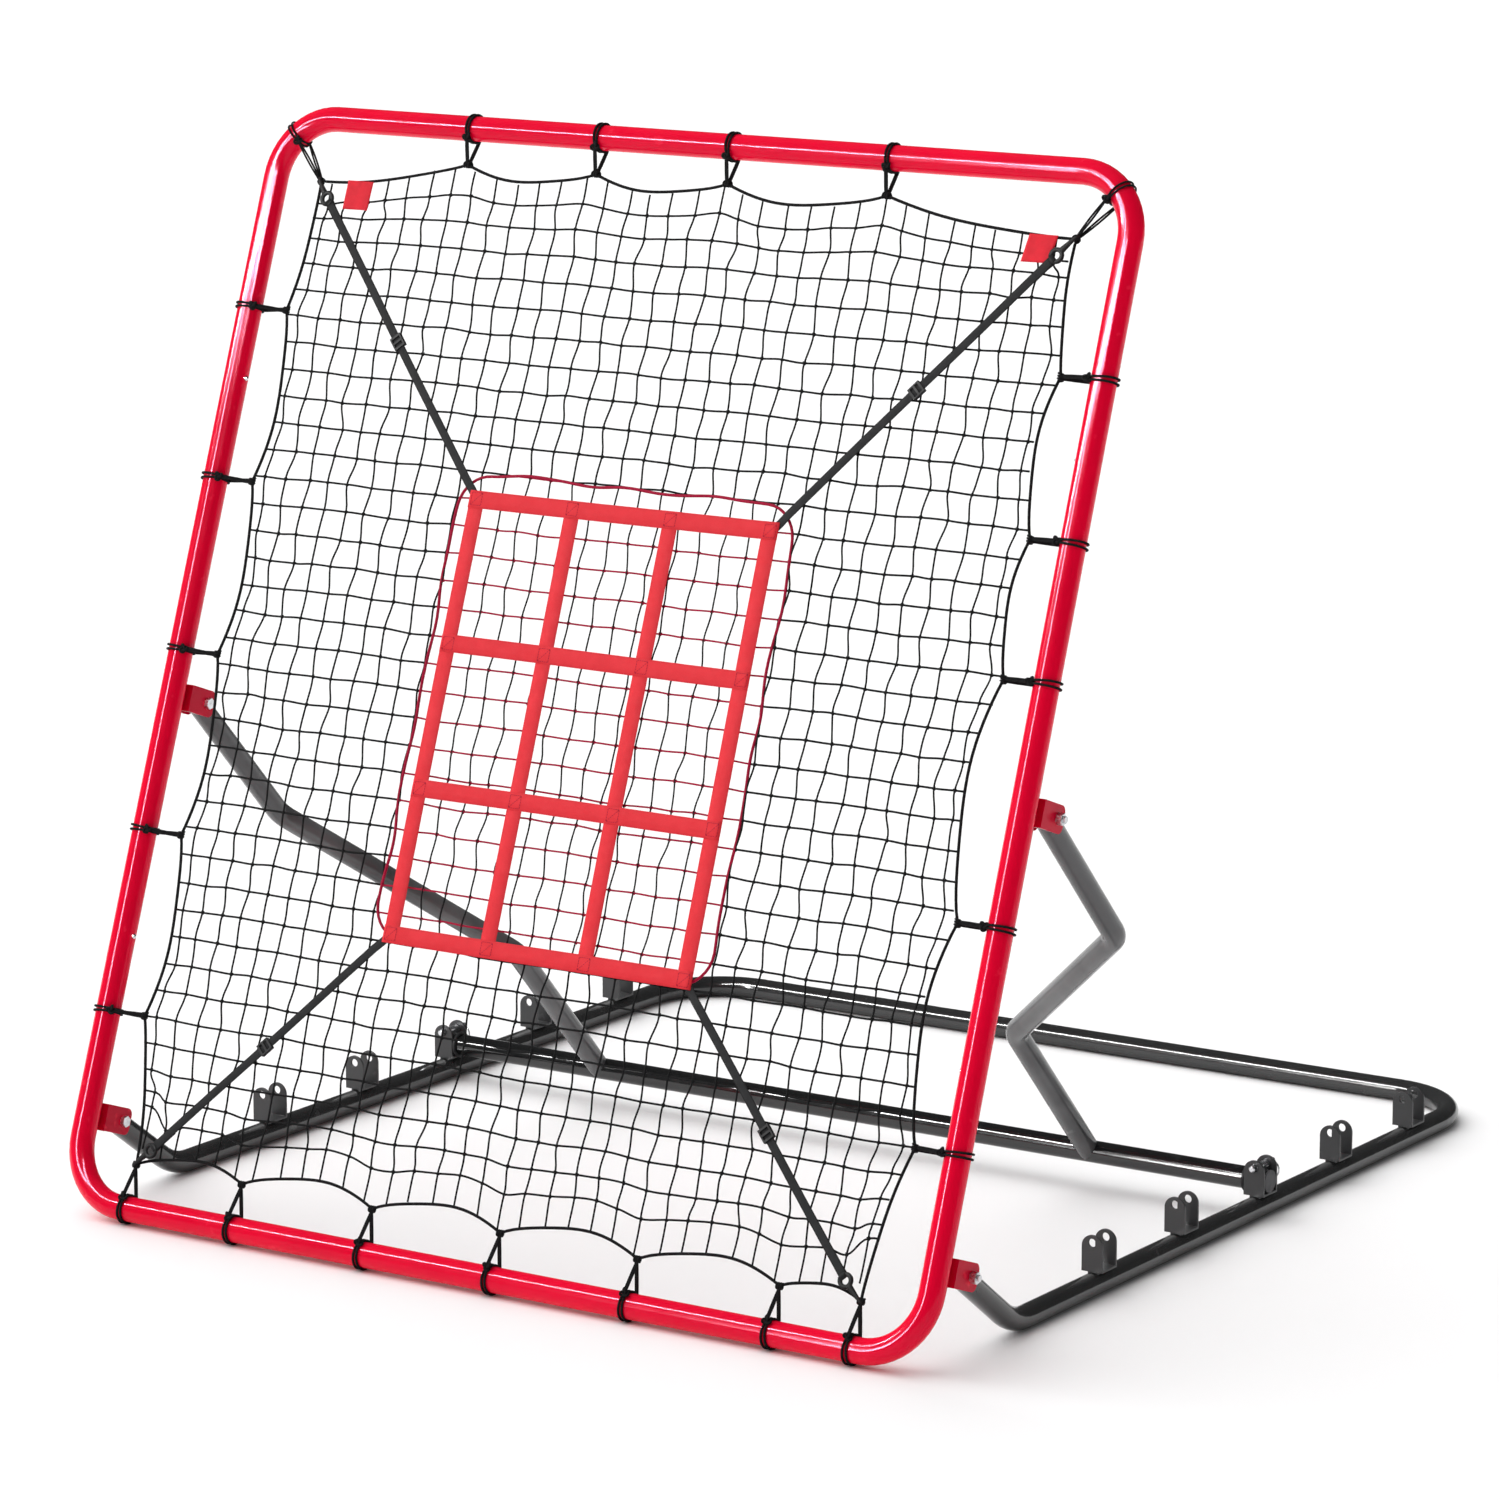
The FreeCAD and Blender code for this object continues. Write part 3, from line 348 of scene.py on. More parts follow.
def twisted_cord(name, colour, radius, lay, strands=3, crossed=False):
    """Laid or braided cord: u runs round it and v along it, both in metres."""
    look = Look(name, colour, 0.62, specular=0.04)
    look.sheen(0.01)
    u, v, _ = look.split(look.coordinates("UV"))
    around = look.math("MULTIPLY", u, strands / (2 * radius))
    along = look.math("MULTIPLY", v, math.pi * strands / lay)

    def ridge(operation):
        wave = look.math("SINE", look.math(operation, around, along))
        return look.math("ABSOLUTE", wave)

    height = ridge("ADD")
    if crossed:
        height = look.math("MINIMUM", height, ridge("SUBTRACT"))
    where = look.coordinates("Object")
    # painted shade: the cord is painted darker in the grooves between its strands
    look.mix_to(look.span(height, 0.0, 0.5, 0.7, 0.0), darkened(colour, 0.35))
    fuzz = look.noise(where, 600, 5.0)
    look.mix_to(look.span(fuzz, 0.45, 0.75, 0, 0.5), lightened(colour, 1.7, 0.01))
    look.uneven_gloss(where, scale=300, spread=0.12)
    look.relief(height, depth=radius * 0.35, strength=0.8)
    return look.material


def webbing(name, colour, pitch, half, edge_darkening):
    """Flat woven band: u runs across it from its middle, v along it, in metres."""
    look = Look(name, colour, 0.66, specular=0.05)
    look.sheen(0.04, 0.4)
    u, v, _ = look.split(look.coordinates("UV"))
    across = look.math("MULTIPLY", u, TURN / pitch)
    along = look.math("MULTIPLY", v, TURN / (pitch * 1.6))
    slant = look.math("ADD", along, look.math("MULTIPLY", look.math("SINE", across), 1.4))
    weave = look.span(look.math("MULTIPLY", look.math("SINE", slant),
                                look.math("COSINE", across)), -1, 1, 0, 1)
    where = look.coordinates("Object")
    # painted shade: the band is painted darker where the weave dips
    look.mix_to(look.span(weave, 0.15, 0.6, 0.5, 0.0), darkened(colour, 0.55))
    patches = look.noise(where, 45, 5.0)
    look.mix_to(look.span(patches, 0.4, 0.75, 0, 0.35), lightened(colour, 1.2, 0.012))
    # the band is painted darker towards its edges
    edge = look.math("ABSOLUTE", u)
    look.mix_to(look.span(edge, half * 0.74, half * 0.9, 0, edge_darkening), darkened(colour, 0.35))
    look.uneven_gloss(where, scale=200, spread=0.1)
    look.relief(weave, depth=0.3 * MM, strength=0.7)
    return look.material


def sewn_cloth(name, colour):
    """Plain weave: u and v are in metres."""
    look = Look(name, colour, 0.8, specular=0.05)
    look.sheen(0.04)
    u, v, _ = look.split(look.coordinates("UV"))
    yarn = TURN / (0.9 * MM)
    warp = look.math("SINE", look.math("MULTIPLY", u, yarn))
    weft = look.math("SINE", look.math("MULTIPLY", v, yarn))
    weave = look.span(look.math("MULTIPLY", warp, weft), -1, 1, 0, 1)
    where = look.coordinates("Object")
    # painted shade: the cloth is painted darker where the weave dips
    look.mix_to(look.span(weave, 0.1, 0.6, 0.35, 0.0), darkened(colour, 0.6))
    look.mottle(where, scale=70, share=0.04)
    look.uneven_gloss(where, scale=200, spread=0.08)
    look.relief(weave, depth=0.2 * MM, strength=0.6)
    return look.material


CORD_R = 1.3 * MM           # netting cord
BORDER_R = 1.9 * MM         # rope round the net
TIE_R = 1.5 * MM            # cord of the ties
ZONE_CORD_R = 1.15 * MM     # netting cord of the strike zone's panel
ZONE_ROPE_R = 1.9 * MM
BAND_WIDE = 22 * MM
STRAP_WIDE = 11 * MM

RED = (0.92, 0.0010, 0.033)
# the brackets' red: the frame's red painted darker, as painted shade
SHADED_RED = (0.64, 0.0010, 0.026)
PINK = (1.0, 0.50, 0.72)    # tint of the highlights in red paint
DUST = (0.45, 0.44, 0.42)
# prop legs: the darker upper colour is painted shade and the paler lower colour is painted light,
# changing at the leg's bend
LEG_TOP_SHADED, LEG_LOW_LIT = (0.066, 0.067, 0.070), (0.128, 0.130, 0.133)
LEG_BEND_HEIGHT = 445 * MM


def make_materials():
    """Every slot's material, by the slot's name."""
    rows = (
        (powder_coat, "frame_paint", dict(colour=RED, roughness=0.13, gloss=0.26, tint=PINK)),
        (powder_coat, "bracket_paint", dict(colour=SHADED_RED, roughness=0.2, gloss=0.14,
                                            edges=0.6 * MM, tint=PINK)),
        (powder_coat, "base_paint", dict(colour=(0.024, 0.0245, 0.025), roughness=0.15,
                                         gloss=0.75, dust=0.02)),
        # prop legs: painted paler below the bend, as painted light
        (powder_coat, "prop_paint", dict(colour=LEG_TOP_SHADED, roughness=0.2, gloss=0.6, dust=0.04,
                                         below=(LEG_BEND_HEIGHT, LEG_LOW_LIT))),
        (powder_coat, "crossbar_paint", dict(colour=(0.008, 0.0085, 0.009), roughness=0.12,
                                             gloss=0.8)),
        (powder_coat, "cradle_paint", dict(colour=(0.042, 0.043, 0.045), roughness=0.34,
                                           gloss=0.4, edges=0.8 * MM, dust=0.04)),
        (plated_steel, "zinc_steel", dict(colour=(0.72, 0.73, 0.75), roughness=0.28)),
        (plated_steel, "button_steel", dict(colour=(0.80, 0.81, 0.83), roughness=0.16)),
        (plated_steel, "spring_steel", dict(colour=(0.45, 0.46, 0.48), roughness=0.35)),
        (moulded, "plug_plastic", dict(colour=(0.10, 0.10, 0.105), roughness=0.5)),
        (moulded, "collar_plastic", dict(colour=(0.03, 0.03, 0.032), roughness=0.5)),
        (moulded, "buckle_plastic", dict(colour=(0.014, 0.014, 0.015), roughness=0.65)),
        (twisted_cord, "net_cord", dict(colour=(0.007, 0.007, 0.0075), radius=CORD_R,
                                        lay=6 * MM)),
        (twisted_cord, "border_rope", dict(colour=(0.010, 0.010, 0.011), radius=BORDER_R,
                                           lay=9 * MM, strands=6, crossed=True)),
        (twisted_cord, "tie_cord", dict(colour=(0.009, 0.009, 0.010), radius=TIE_R,
                                        lay=6 * MM, strands=5, crossed=True)),
        (twisted_cord, "zone_cord", dict(colour=(0.43, 0.004, 0.040), radius=ZONE_CORD_R,
                                         lay=6 * MM)),
        (webbing, "zone_webbing", dict(colour=(0.93, 0.030, 0.045), pitch=1.5 * MM,
                                       half=BAND_WIDE / 2, edge_darkening=0.12)),
        (webbing, "strap_webbing", dict(colour=(0.024, 0.0245, 0.026), pitch=1.2 * MM,
                                        half=STRAP_WIDE / 2, edge_darkening=0.85)),
        (sewn_cloth, "tab_cloth", dict(colour=(0.93, 0.024, 0.045))),
    )
    return {name: make(name, **values) for make, name, values in rows}


# ---------------------------------------------------------------- swept meshes
def directions(points, closed):
    """Unit tangents of a path."""
    if closed:
        ahead = np.roll(points, -1, 0) - np.roll(points, 1, 0)
    else:
        ahead = np.gradient(points, axis=0)
    return ahead / np.linalg.norm(ahead, axis=1)[:, None]


def carried_sides(points, closed):
    """Across and normal directions carried along a path without twisting."""
    tangents = directions(points, closed)
    start = np.cross(tangents[0], (0.0, 1.0, 0.0))
    if np.linalg.norm(start) < 0.1:
        start = np.cross(tangents[0], (1.0, 0.0, 0.0))
    sides = [start / np.linalg.norm(start)]
    for tangent in tangents[1:]:
        side = sides[-1] - tangent * np.dot(sides[-1], tangent)
        sides.append(side / np.linalg.norm(side))
    sides = np.array(sides)
    normals = np.cross(tangents, sides)
    if closed:
        last = sides[-1] - tangents[0] * np.dot(sides[-1], tangents[0])
        turn = math.atan2(np.dot(last, normals[0]), np.dot(last, sides[0]))
        turns = -turn * np.arange(len(points)) / len(points)
        cos, sin = np.cos(turns)[:, None], np.sin(turns)[:, None]
        sides, normals = sides * cos + normals * sin, normals * cos - sides * sin
    return sides, normals


class Sweep:
    """Gathers swept solids, each a closed mesh, into one piece."""

    def __init__(self):
        self.points, self.faces, self.uvs = [], [], []
        self.count = 0

    def add(self, points, section, across, closed=False, frames=None, scale=None):
        """section is a loop of (side, normal) offsets, across their u values."""
        points = np.asarray(points, float)
        sides, normals = frames or carried_sides(points, closed)
        sides, normals = np.asarray(sides), np.asarray(normals)
        size = np.ones(len(points)) if scale is None else np.asarray(scale, float)
        size = size[:, None, None]
        section = np.asarray(section, float)
        rings = points[:, None, :] + size * (sides[:, None, :] * section[None, :, :1]
                                             + normals[:, None, :] * section[None, :, 1:])
        n, m = len(points), len(section)
        steps = np.linalg.norm(np.diff(points, axis=0), axis=1)
        along = np.concatenate([[0], np.cumsum(steps)])
        if closed:
            along = np.append(along, along[-1] + np.linalg.norm(points[0] - points[-1]))
        base = self.count
        self.points.append(rings.reshape(-1, 3))
        self.count += n * m
        for i in range(n if closed else n - 1):
            here, there = base + i * m, base + (i + 1) % n * m
            for k in range(m):
                after = (k + 1) % m
                self.faces.append((here + k, here + after, there + after, there + k))
                self.uvs += [(across[k], along[i]), (across[k + 1], along[i]),
                             (across[k + 1], along[i + 1]), (across[k], along[i + 1])]
        if not closed:
            self.faces.append(tuple(base + k for k in reversed(range(m))))
            self.uvs += [(across[k], 0.0) for k in reversed(range(m))]
            self.faces.append(tuple(base + (n - 1) * m + k for k in range(m)))
            self.uvs += [(across[k], along[n - 1]) for k in range(m)]

    def cord(self, points, radius, sides=6, closed=False, scale=None):
        turns = [TURN * k / sides for k in range(sides + 1)]
        section = [(radius * math.cos(a), radius * math.sin(a)) for a in turns[:-1]]
        self.add(points, section, [a * radius for a in turns], closed, None, scale)

    def band(self, points, side, normal, wide, thick):
        """A flat strap with rounded edges. side and normal hold all along it."""
        w, t = wide / 2, thick / 2
        section = [(-w, -t * 0.4), (-w + t * 0.6, -t), (0, -t * 1.12), (w - t * 0.6, -t),
                   (w, -t * 0.4), (w, t * 0.4), (w - t * 0.6, t), (0, t * 1.12),
                   (-w + t * 0.6, t), (-w, t * 0.4)]
        across = [a for a, _ in section] + [section[0][0]]
        n = len(points)
        frames = (np.tile(side, (n, 1)), np.tile(normal, (n, 1)))
        self.add(points, section, across, False, frames)

    def piece(self, name, slot, stands_for=()):
        """Makes one object of all that was swept, in the leaning frame's place."""
        mesh = bpy.data.meshes.new(name)
        world = np.array(LEANING)
        points = np.concatenate(self.points) @ world[:3, :3].T + world[:3, 3]
        mesh.from_pydata(points.tolist(), [], self.faces)
        layer = mesh.uv_layers.new(name="UVMap")
        layer.data.foreach_set("uv", np.array(self.uvs, np.float32).ravel())
        mesh.polygons.foreach_set("use_smooth", [len(f) == 4 for f in self.faces])
        mesh.materials.append(MATERIALS[slot])
        mesh.validate()
        made = bpy.data.objects.new(name, mesh)
        bpy.context.scene.collection.objects.link(made)
        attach(made, CARRIER)
        if stands_for:
            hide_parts(*stands_for)


def strung(x, s, b=0.0):
    """A point of the leaning frame, from its place across, up and behind the net."""
    return (x, b, s)


def knot_path(centre, size, turn, count):
    """A small overhand knot: a trefoil lying in the net's plane."""
    points = []
    for i in range(count):
        a = TURN * i / count
        u = math.sin(a) + 2 * math.sin(2 * a)
        v = math.cos(a) - 2 * math.cos(2 * a)
        w = -math.sin(3 * a)
        x = u * math.cos(turn) - v * math.sin(turn)
        z = u * math.sin(turn) + v * math.cos(turn)
        points.append((centre[0] + size * x, centre[1] + size * w, centre[2] + size * z))
    return points


# ---------------------------------------------------------------- border of the net
EDGE_X = 567 * MM           # the rope's straight sides, where the ties hold it
EDGE_TOP = TALL - 46 * MM
EDGE_FOOT = 56 * MM
TIES_TOP = (-332, -138, 56, 284)                # mm across
TIES_BOTTOM = (-368, -168, 23, 222, 422)
TIES_LEFT = (1148, 926, 703, 471, 240)          # mm up
TIES_RIGHT = (1152, 958, 792, 504, 240)
UPPER_CORNER = (14 * MM, 35 * MM)               # inwards and downwards
LOWER_CORNER = 33 * MM
SAG = {"top": 0.085, "right": 0.080, "bottom": 0.105, "left": 0.070}    # share of the span
CORNER_SAG = 0.035          # next to a corner the rope is pulled straighter
ROPE_STEPS = 22             # points from one tie to the next
CORNER_PLACES = {"upper_left": 0, "upper_right": 5, "lower_right": 11, "lower_left": 17}


def border_points():
    """(side, point) where the ties hold the border rope, clockwise from upper left."""
    in_x, in_s = UPPER_CORNER
    points = [("top", Vector((-EDGE_X + in_x, 0, EDGE_TOP - in_s)))]
    points += [("top", Vector((x * MM, 0, EDGE_TOP))) for x in TIES_TOP]
    points += [("right", Vector((EDGE_X - in_x, 0, EDGE_TOP - in_s)))]
    points += [("right", Vector((EDGE_X, 0, s * MM))) for s in TIES_RIGHT]
    points += [("bottom", Vector((EDGE_X - LOWER_CORNER, 0, EDGE_FOOT)))]
    points += [("bottom", Vector((x * MM, 0, EDGE_FOOT))) for x in reversed(TIES_BOTTOM)]
    points += [("left", Vector((-EDGE_X + LOWER_CORNER, 0, EDGE_FOOT)))]
    points += [("left", Vector((-EDGE_X, 0, s * MM))) for s in reversed(TIES_LEFT)]
    return points


def border_line():
    """The rope's path: it hangs in a shallow arc from each tie to the next."""
    held = border_points()
    corners = [held[k][1] for k in CORNER_PLACES.values()]
    middle = Vector((0, 0, (EDGE_TOP + EDGE_FOOT) / 2))
    line = []
    for (side, start), (_, end) in zip(held, held[1:] + held[:1]):
        along = end - start
        inward = Vector((along.z, 0, -along.x)).normalized()
        if inward.dot(middle - start) < 0:
            inward = -inward
        corner = start in corners or end in corners
        sag = along.length * (CORNER_SAG if corner and side != "bottom" else SAG[side])
        for i in range(ROPE_STEPS):
            t = i / ROPE_STEPS
            lean = 0.12 * math.sin(TURN * t)
            bow = (4 * t * (1 - t)) ** 0.9 * (1 + lean)
            line.append(start + along * t + inward * sag * bow)
    return [strung(p.x, p.z) for p in line]


class Region:
    """Tells which (x, s) points lie inside a closed outline, by counting crossings."""

    def __init__(self, outline):
        self.line = np.array([(p[0], p[2]) for p in outline])

    def holds(self, points):
        x, s = points[:, :1], points[:, 1:]
        a, b = self.line, np.roll(self.line, -1, 0)
        spans = (a[:, 1] > s) != (b[:, 1] > s)
        rise = np.where(b[:, 1] == a[:, 1], 1e-12, b[:, 1] - a[:, 1])
        at = a[:, 0] + (b[:, 0] - a[:, 0]) * (s - a[:, 1]) / rise
        return (spans & (x < at)).sum(1) % 2 == 1


# ---------------------------------------------------------------- strike zone outline
ZONE_LOW, ZONE_HIGH = leaning_corners("strike_zone_grid")
ROPE_LOW, ROPE_HIGH = leaning_corners("zone_rope")
ZONE_DEPTH = (ZONE_LOW.y + ZONE_HIGH.y) / 2
ROPE_INSET = 2 * MM         # from the rope node's box to the rope's middle
ROPE_CORNER = 42 * MM
ZONE_ROPE_POINTS = 260
WAVES = (9, 13, 17, 22, 29)  # ripples in the zone's rope, per round of it
WAVE_SIZE = 24 * MM


def zone_line():
    """The zone's rope: a rounded rectangle that wanders a little."""
    rng = random.Random(7)
    low_x, high_x = ROPE_LOW.x + ROPE_INSET, ROPE_HIGH.x - ROPE_INSET
    low_s, high_s = ROPE_LOW.z + ROPE_INSET, ROPE_HIGH.z - ROPE_INSET
    radius, steps = ROPE_CORNER, 8
    corners = [((high_x - radius, low_s + radius), -90), ((high_x - radius, high_s - radius), 0),
               ((low_x + radius, high_s - radius), 90), ((low_x + radius, low_s + radius), 180)]
    ring = []
    for (cx, cs), start in corners:
        for i in range(steps + 1):
            a = math.radians(start + i * 90 / steps)
            ring.append((cx + radius * math.cos(a), cs + radius * math.sin(a),
                         math.cos(a), math.sin(a)))
    ring.append(ring[0])
    lengths = [0.0]
    for p, q in zip(ring, ring[1:]):
        lengths.append(lengths[-1] + math.hypot(q[0] - p[0], q[1] - p[1]))
    table = np.array(ring)
    total = lengths[-1]
    waves = [(k, rng.uniform(0.3, 1.0) * WAVE_SIZE / k, rng.uniform(0, 6.28)) for k in WAVES]
    points = []
    for i in range(ZONE_ROPE_POINTS):
        d = total * i / ZONE_ROPE_POINTS
        x, s, nx, ns = (np.interp(d, lengths, table[:, k]) for k in range(4))
        push = sum(a * math.sin(k * TURN * d / total + p) for k, a, p in waves)
        norm = math.hypot(nx, ns)
        points.append(strung(x + push * nx / norm, s + push * ns / norm))
    return points


# ---------------------------------------------------------------- netting
COLUMNS, ROWS = 34, 36
MARGIN_SIDE, MARGIN_TOP, MARGIN_FOOT = 18 * MM, 36 * MM, 45 * MM
NEAR_EDGE = 45 * MM         # rope this close to its straight edge counts as that side
DRAWN_IN, FADE_IN = 0.72, 55 * MM       # how far the side ropes draw the net in with them
DRAWN_UP, FADE_UP = 0.66, 38 * MM       # the same for the top and bottom ropes
FINE = 6                    # points along each side of a mesh
LAYER = 0.45 * MM           # half the distance between upright and level cords
OVERSHOOT = 1.6             # cords are drawn this many meshes past the last knot, then cut
KNOT_SIZE = 0.80 * MM


def grid_points():
    """Where the knots lie: an even grid, loosely tied and drawn in by the rope."""
    rng = random.Random(41)
    xs = np.linspace(-EDGE_X + MARGIN_SIDE, EDGE_X - MARGIN_SIDE, COLUMNS)
    ss = np.linspace(EDGE_FOOT + MARGIN_FOOT, EDGE_TOP - MARGIN_TOP, ROWS)
    rope = np.array([(p[0], p[2]) for p in border_line()])

    def edge_shift(at, axis, side):
        """How far the rope hangs in from its straight edge, at a place along it."""
        straight = {("x", -1): -EDGE_X, ("x", 1): EDGE_X,
                    ("s", -1): EDGE_FOOT, ("s", 1): EDGE_TOP}[(axis, side)]
        mine, other = (0, 1) if axis == "x" else (1, 0)
        near = np.abs(rope[:, mine] - straight) < NEAR_EDGE
        order = np.argsort(rope[near, other])
        return np.interp(at, rope[near, other][order], rope[near, mine][order]) - straight

    grid = np.zeros((COLUMNS, ROWS, 2))
    for i, x in enumerate(xs):
        for j, s in enumerate(ss):
            pull_x = pull_s = 0.0
            for side in (-1, 1):
                gap = abs(x - side * EDGE_X) - MARGIN_SIDE
                pull_x += edge_shift(s, "x", side) * DRAWN_IN * math.exp(-max(gap, 0) / FADE_IN)
                end, margin = ((EDGE_TOP, MARGIN_TOP) if side > 0
                               else (EDGE_FOOT, MARGIN_FOOT))
                gap = abs(s - end) - margin
                pull_s += edge_shift(x, "s", side) * DRAWN_UP * math.exp(-max(gap, 0) / FADE_UP)
            wave = math.sin(TURN * (0.36 * j + 0.27 * i) + 1.3 * math.sin(0.23 * i))
            sway = 2.4 * wave + rng.gauss(0, 1.3)
            lift = 0.7 * math.sin(0.9 * i + 0.5 * j) + rng.gauss(0, 0.55)
            grid[i, j] = (x + pull_x + sway * MM, s + pull_s + lift * MM)
    return grid


def strand(knots, ease, rng, wander):
    """A smooth line through knots; ease keeps it straight at each knot."""
    knots = np.asarray(knots)
    slopes = np.gradient(knots, axis=0)
    overall = (knots[-1] - knots[0]) / (len(knots) - 1)
    slopes = overall + (slopes - overall) * ease
    slopes += np.array([[rng.gauss(0, wander) * overall[1], rng.gauss(0, wander) * overall[0]]
                        for _ in knots])
    line = []
    for p, q, u, v in zip(knots, knots[1:], slopes, slopes[1:]):
        for i in range(FINE):
            t = i / FINE
            line.append((2 * t**3 - 3 * t**2 + 1) * p + (t**3 - 2 * t**2 + t) * u
                        + (3 * t**2 - 2 * t**3) * q + (t**3 - t**2) * v)
    line.append(knots[-1])
    return np.array(line)


def runs_within(line, zone, keep, border):
    """The runs of a strand inside the border that are in the zone, or (keep False) out of it."""
    dense = []
    for p, q in zip(line, line[1:]):
        dense += [p, (p + q) / 2]
    dense.append(line[-1])
    dense = np.array(dense)
    held = (zone.holds(dense) == keep) & border.holds(dense)
    runs, current = [], []
    for k, ok in enumerate(held):
        if ok:
            if not current and k:
                current.append((dense[k - 1] + dense[k]) / 2)
            current.append(dense[k])
        elif current:
            current.append((dense[k - 1] + dense[k]) / 2)
            runs.append(current)
            current = []
    if current:
        runs.append(current)
    return [np.array(r)[::2] if len(r) > 6 else np.array(r) for r in runs if len(r) > 2]


def make_net():
    """Knotted netting: black, but the zone's level cords and knots are red."""
    grid = grid_points()
    rng = random.Random(5)
    border = Region(border_line())
    zone = Region(zone_line())
    pieces = {}
    for colour in ("net", "zone_net"):
        for part in ("warp", "weft", "knots"):
            pieces[colour, part] = Sweep()

    def lay(line, part, depth):
        for colour, keep in (("net", False), ("zone_net", True)):
            radius = CORD_R if colour == "net" else ZONE_CORD_R
            for run in runs_within(line, zone, keep, border):
                pieces[colour, part].cord([strung(x, s, depth) for x, s in run], radius)

    pitch_x = (grid[-1, 0] - grid[0, 0])[0] / (COLUMNS - 1)
    pitch_s = (grid[0, -1] - grid[0, 0])[1] / (ROWS - 1)
    for i in range(COLUMNS):
        knots = list(grid[i])
        knots = [knots[0] + (rng.gauss(0, 1) * MM, -OVERSHOOT * pitch_s)] + knots
        knots += [knots[-1] + (rng.gauss(0, 1) * MM, OVERSHOOT * pitch_s)]
        lay(strand(knots, 0.30, rng, 0.10), "warp", -LAYER)
    for j in range(ROWS):
        knots = list(grid[:, j])
        past = np.array((OVERSHOOT * pitch_x, 0))
        knots = [knots[0] - past] + knots + [knots[-1] + past]
        lay(strand(knots, 0.85, rng, 0.03), "weft", LAYER)
    places = grid.reshape(-1, 2)
    for (x, s), within, red in zip(places, border.holds(places), zone.holds(places)):
        turn = rng.uniform(0, 6.28)
        if within:
            colour = "zone_net" if red else "net"
            path = knot_path((x, 0, s), KNOT_SIZE, turn, 14)
            pieces[colour, "knots"].cord(path, KNOT_SIZE, 4, closed=True)
    for (colour, part), made in pieces.items():
        slot = "net_cord" if colour == "net" or part == "warp" else "zone_cord"
        made.piece(f"{colour}_{part}", slot, stands_for=(colour,) if part == "warp" else ())


# ---------------------------------------------------------------- ropes and ties
KNOT_AT, BEHIND_AT = math.radians(45), math.radians(-62)    # round the tube, from its inside
LOOP_STEPS, LEAD_STEPS, WRAP_STEPS = 40, 14, 12
WRAP_TURNS = 3


def make_ropes():
    rope = Sweep()
    rope.cord(border_line(), BORDER_R, 8, closed=True)
    rope.piece("border_rope", "border_rope", stands_for=("net_border_rope",))
    red = Sweep()
    red.cord([(x, -0.2 * MM, s) for x, _, s in zone_line()], ZONE_ROPE_R, 8, closed=True)
    red.piece("zone_border_rope", "zone_cord", stands_for=("zone_rope",))


def tie(cords, knots, edge, onto, outward, at_corner, rng):
    """A doubled cord round the tube, knotted in front, holding the border rope.

    edge is where it holds the rope, onto the tube's axis there, outward away from the net.
    """
    cord_r = TIE_R * (0.85 if at_corner else 1.0)
    along = outward.cross(FRONT)
    inward = -outward
    ring_r = TUBE_R + cord_r + 0.15 * MM
    spread = rng.uniform(1.2, 2.0) * MM
    slant = rng.uniform(-1.5, 1.5) * MM

    def round_axis(centre, angle, radius, shift):
        spoke = inward * math.cos(angle) + FRONT * math.sin(angle)
        return centre + spoke * radius + along * shift

    for side in (-1, 1):
        loop = []
        for k in range(LOOP_STEPS):
            angle = KNOT_AT + TURN * k / LOOP_STEPS
            parted = 0.5 - 0.5 * math.cos(angle - KNOT_AT)
            shift = side * (1.6 * MM + spread * parted ** 0.4) + slant * parted
            loop.append(round_axis(onto, angle, ring_r, shift))
        cords.cord(loop, cord_r, 7, closed=True)
    knot = round_axis(onto, KNOT_AT, ring_r + 2.8 * MM, 0)
    knots.cord(knot_path(knot, 1.8 * MM, rng.uniform(0, 6.28), 30), 1.7 * MM, 8, closed=True)
    behind = round_axis(onto, BEHIND_AT, ring_r, 0)
    apart, at_ends = (1.6 * MM, 0.25) if at_corner else (1.2 * MM, 0.8)
    for start, drift in ((knot, -1.2 * MM), (behind, 1.2 * MM)):
        for side in (-1, 1):
            line = []
            for k in range(LEAD_STEPS + 1):
                t = k / LEAD_STEPS
                bow = at_ends + (1.05 - at_ends) * math.sin(math.pi * t)
                line.append(start + (edge - start) * t + along * (side * apart * bow + drift * t))
            cords.cord(line, cord_r, 7)
    wrap = []
    count = WRAP_TURNS * WRAP_STEPS
    for k in range(count + 1):
        shift = (k / count - 0.5) * WRAP_TURNS * 2.1 * cord_r
        wrap.append(round_axis(edge, TURN * k / WRAP_STEPS, BORDER_R + cord_r * 0.9, shift))
    cords.cord(wrap, cord_r, 7)


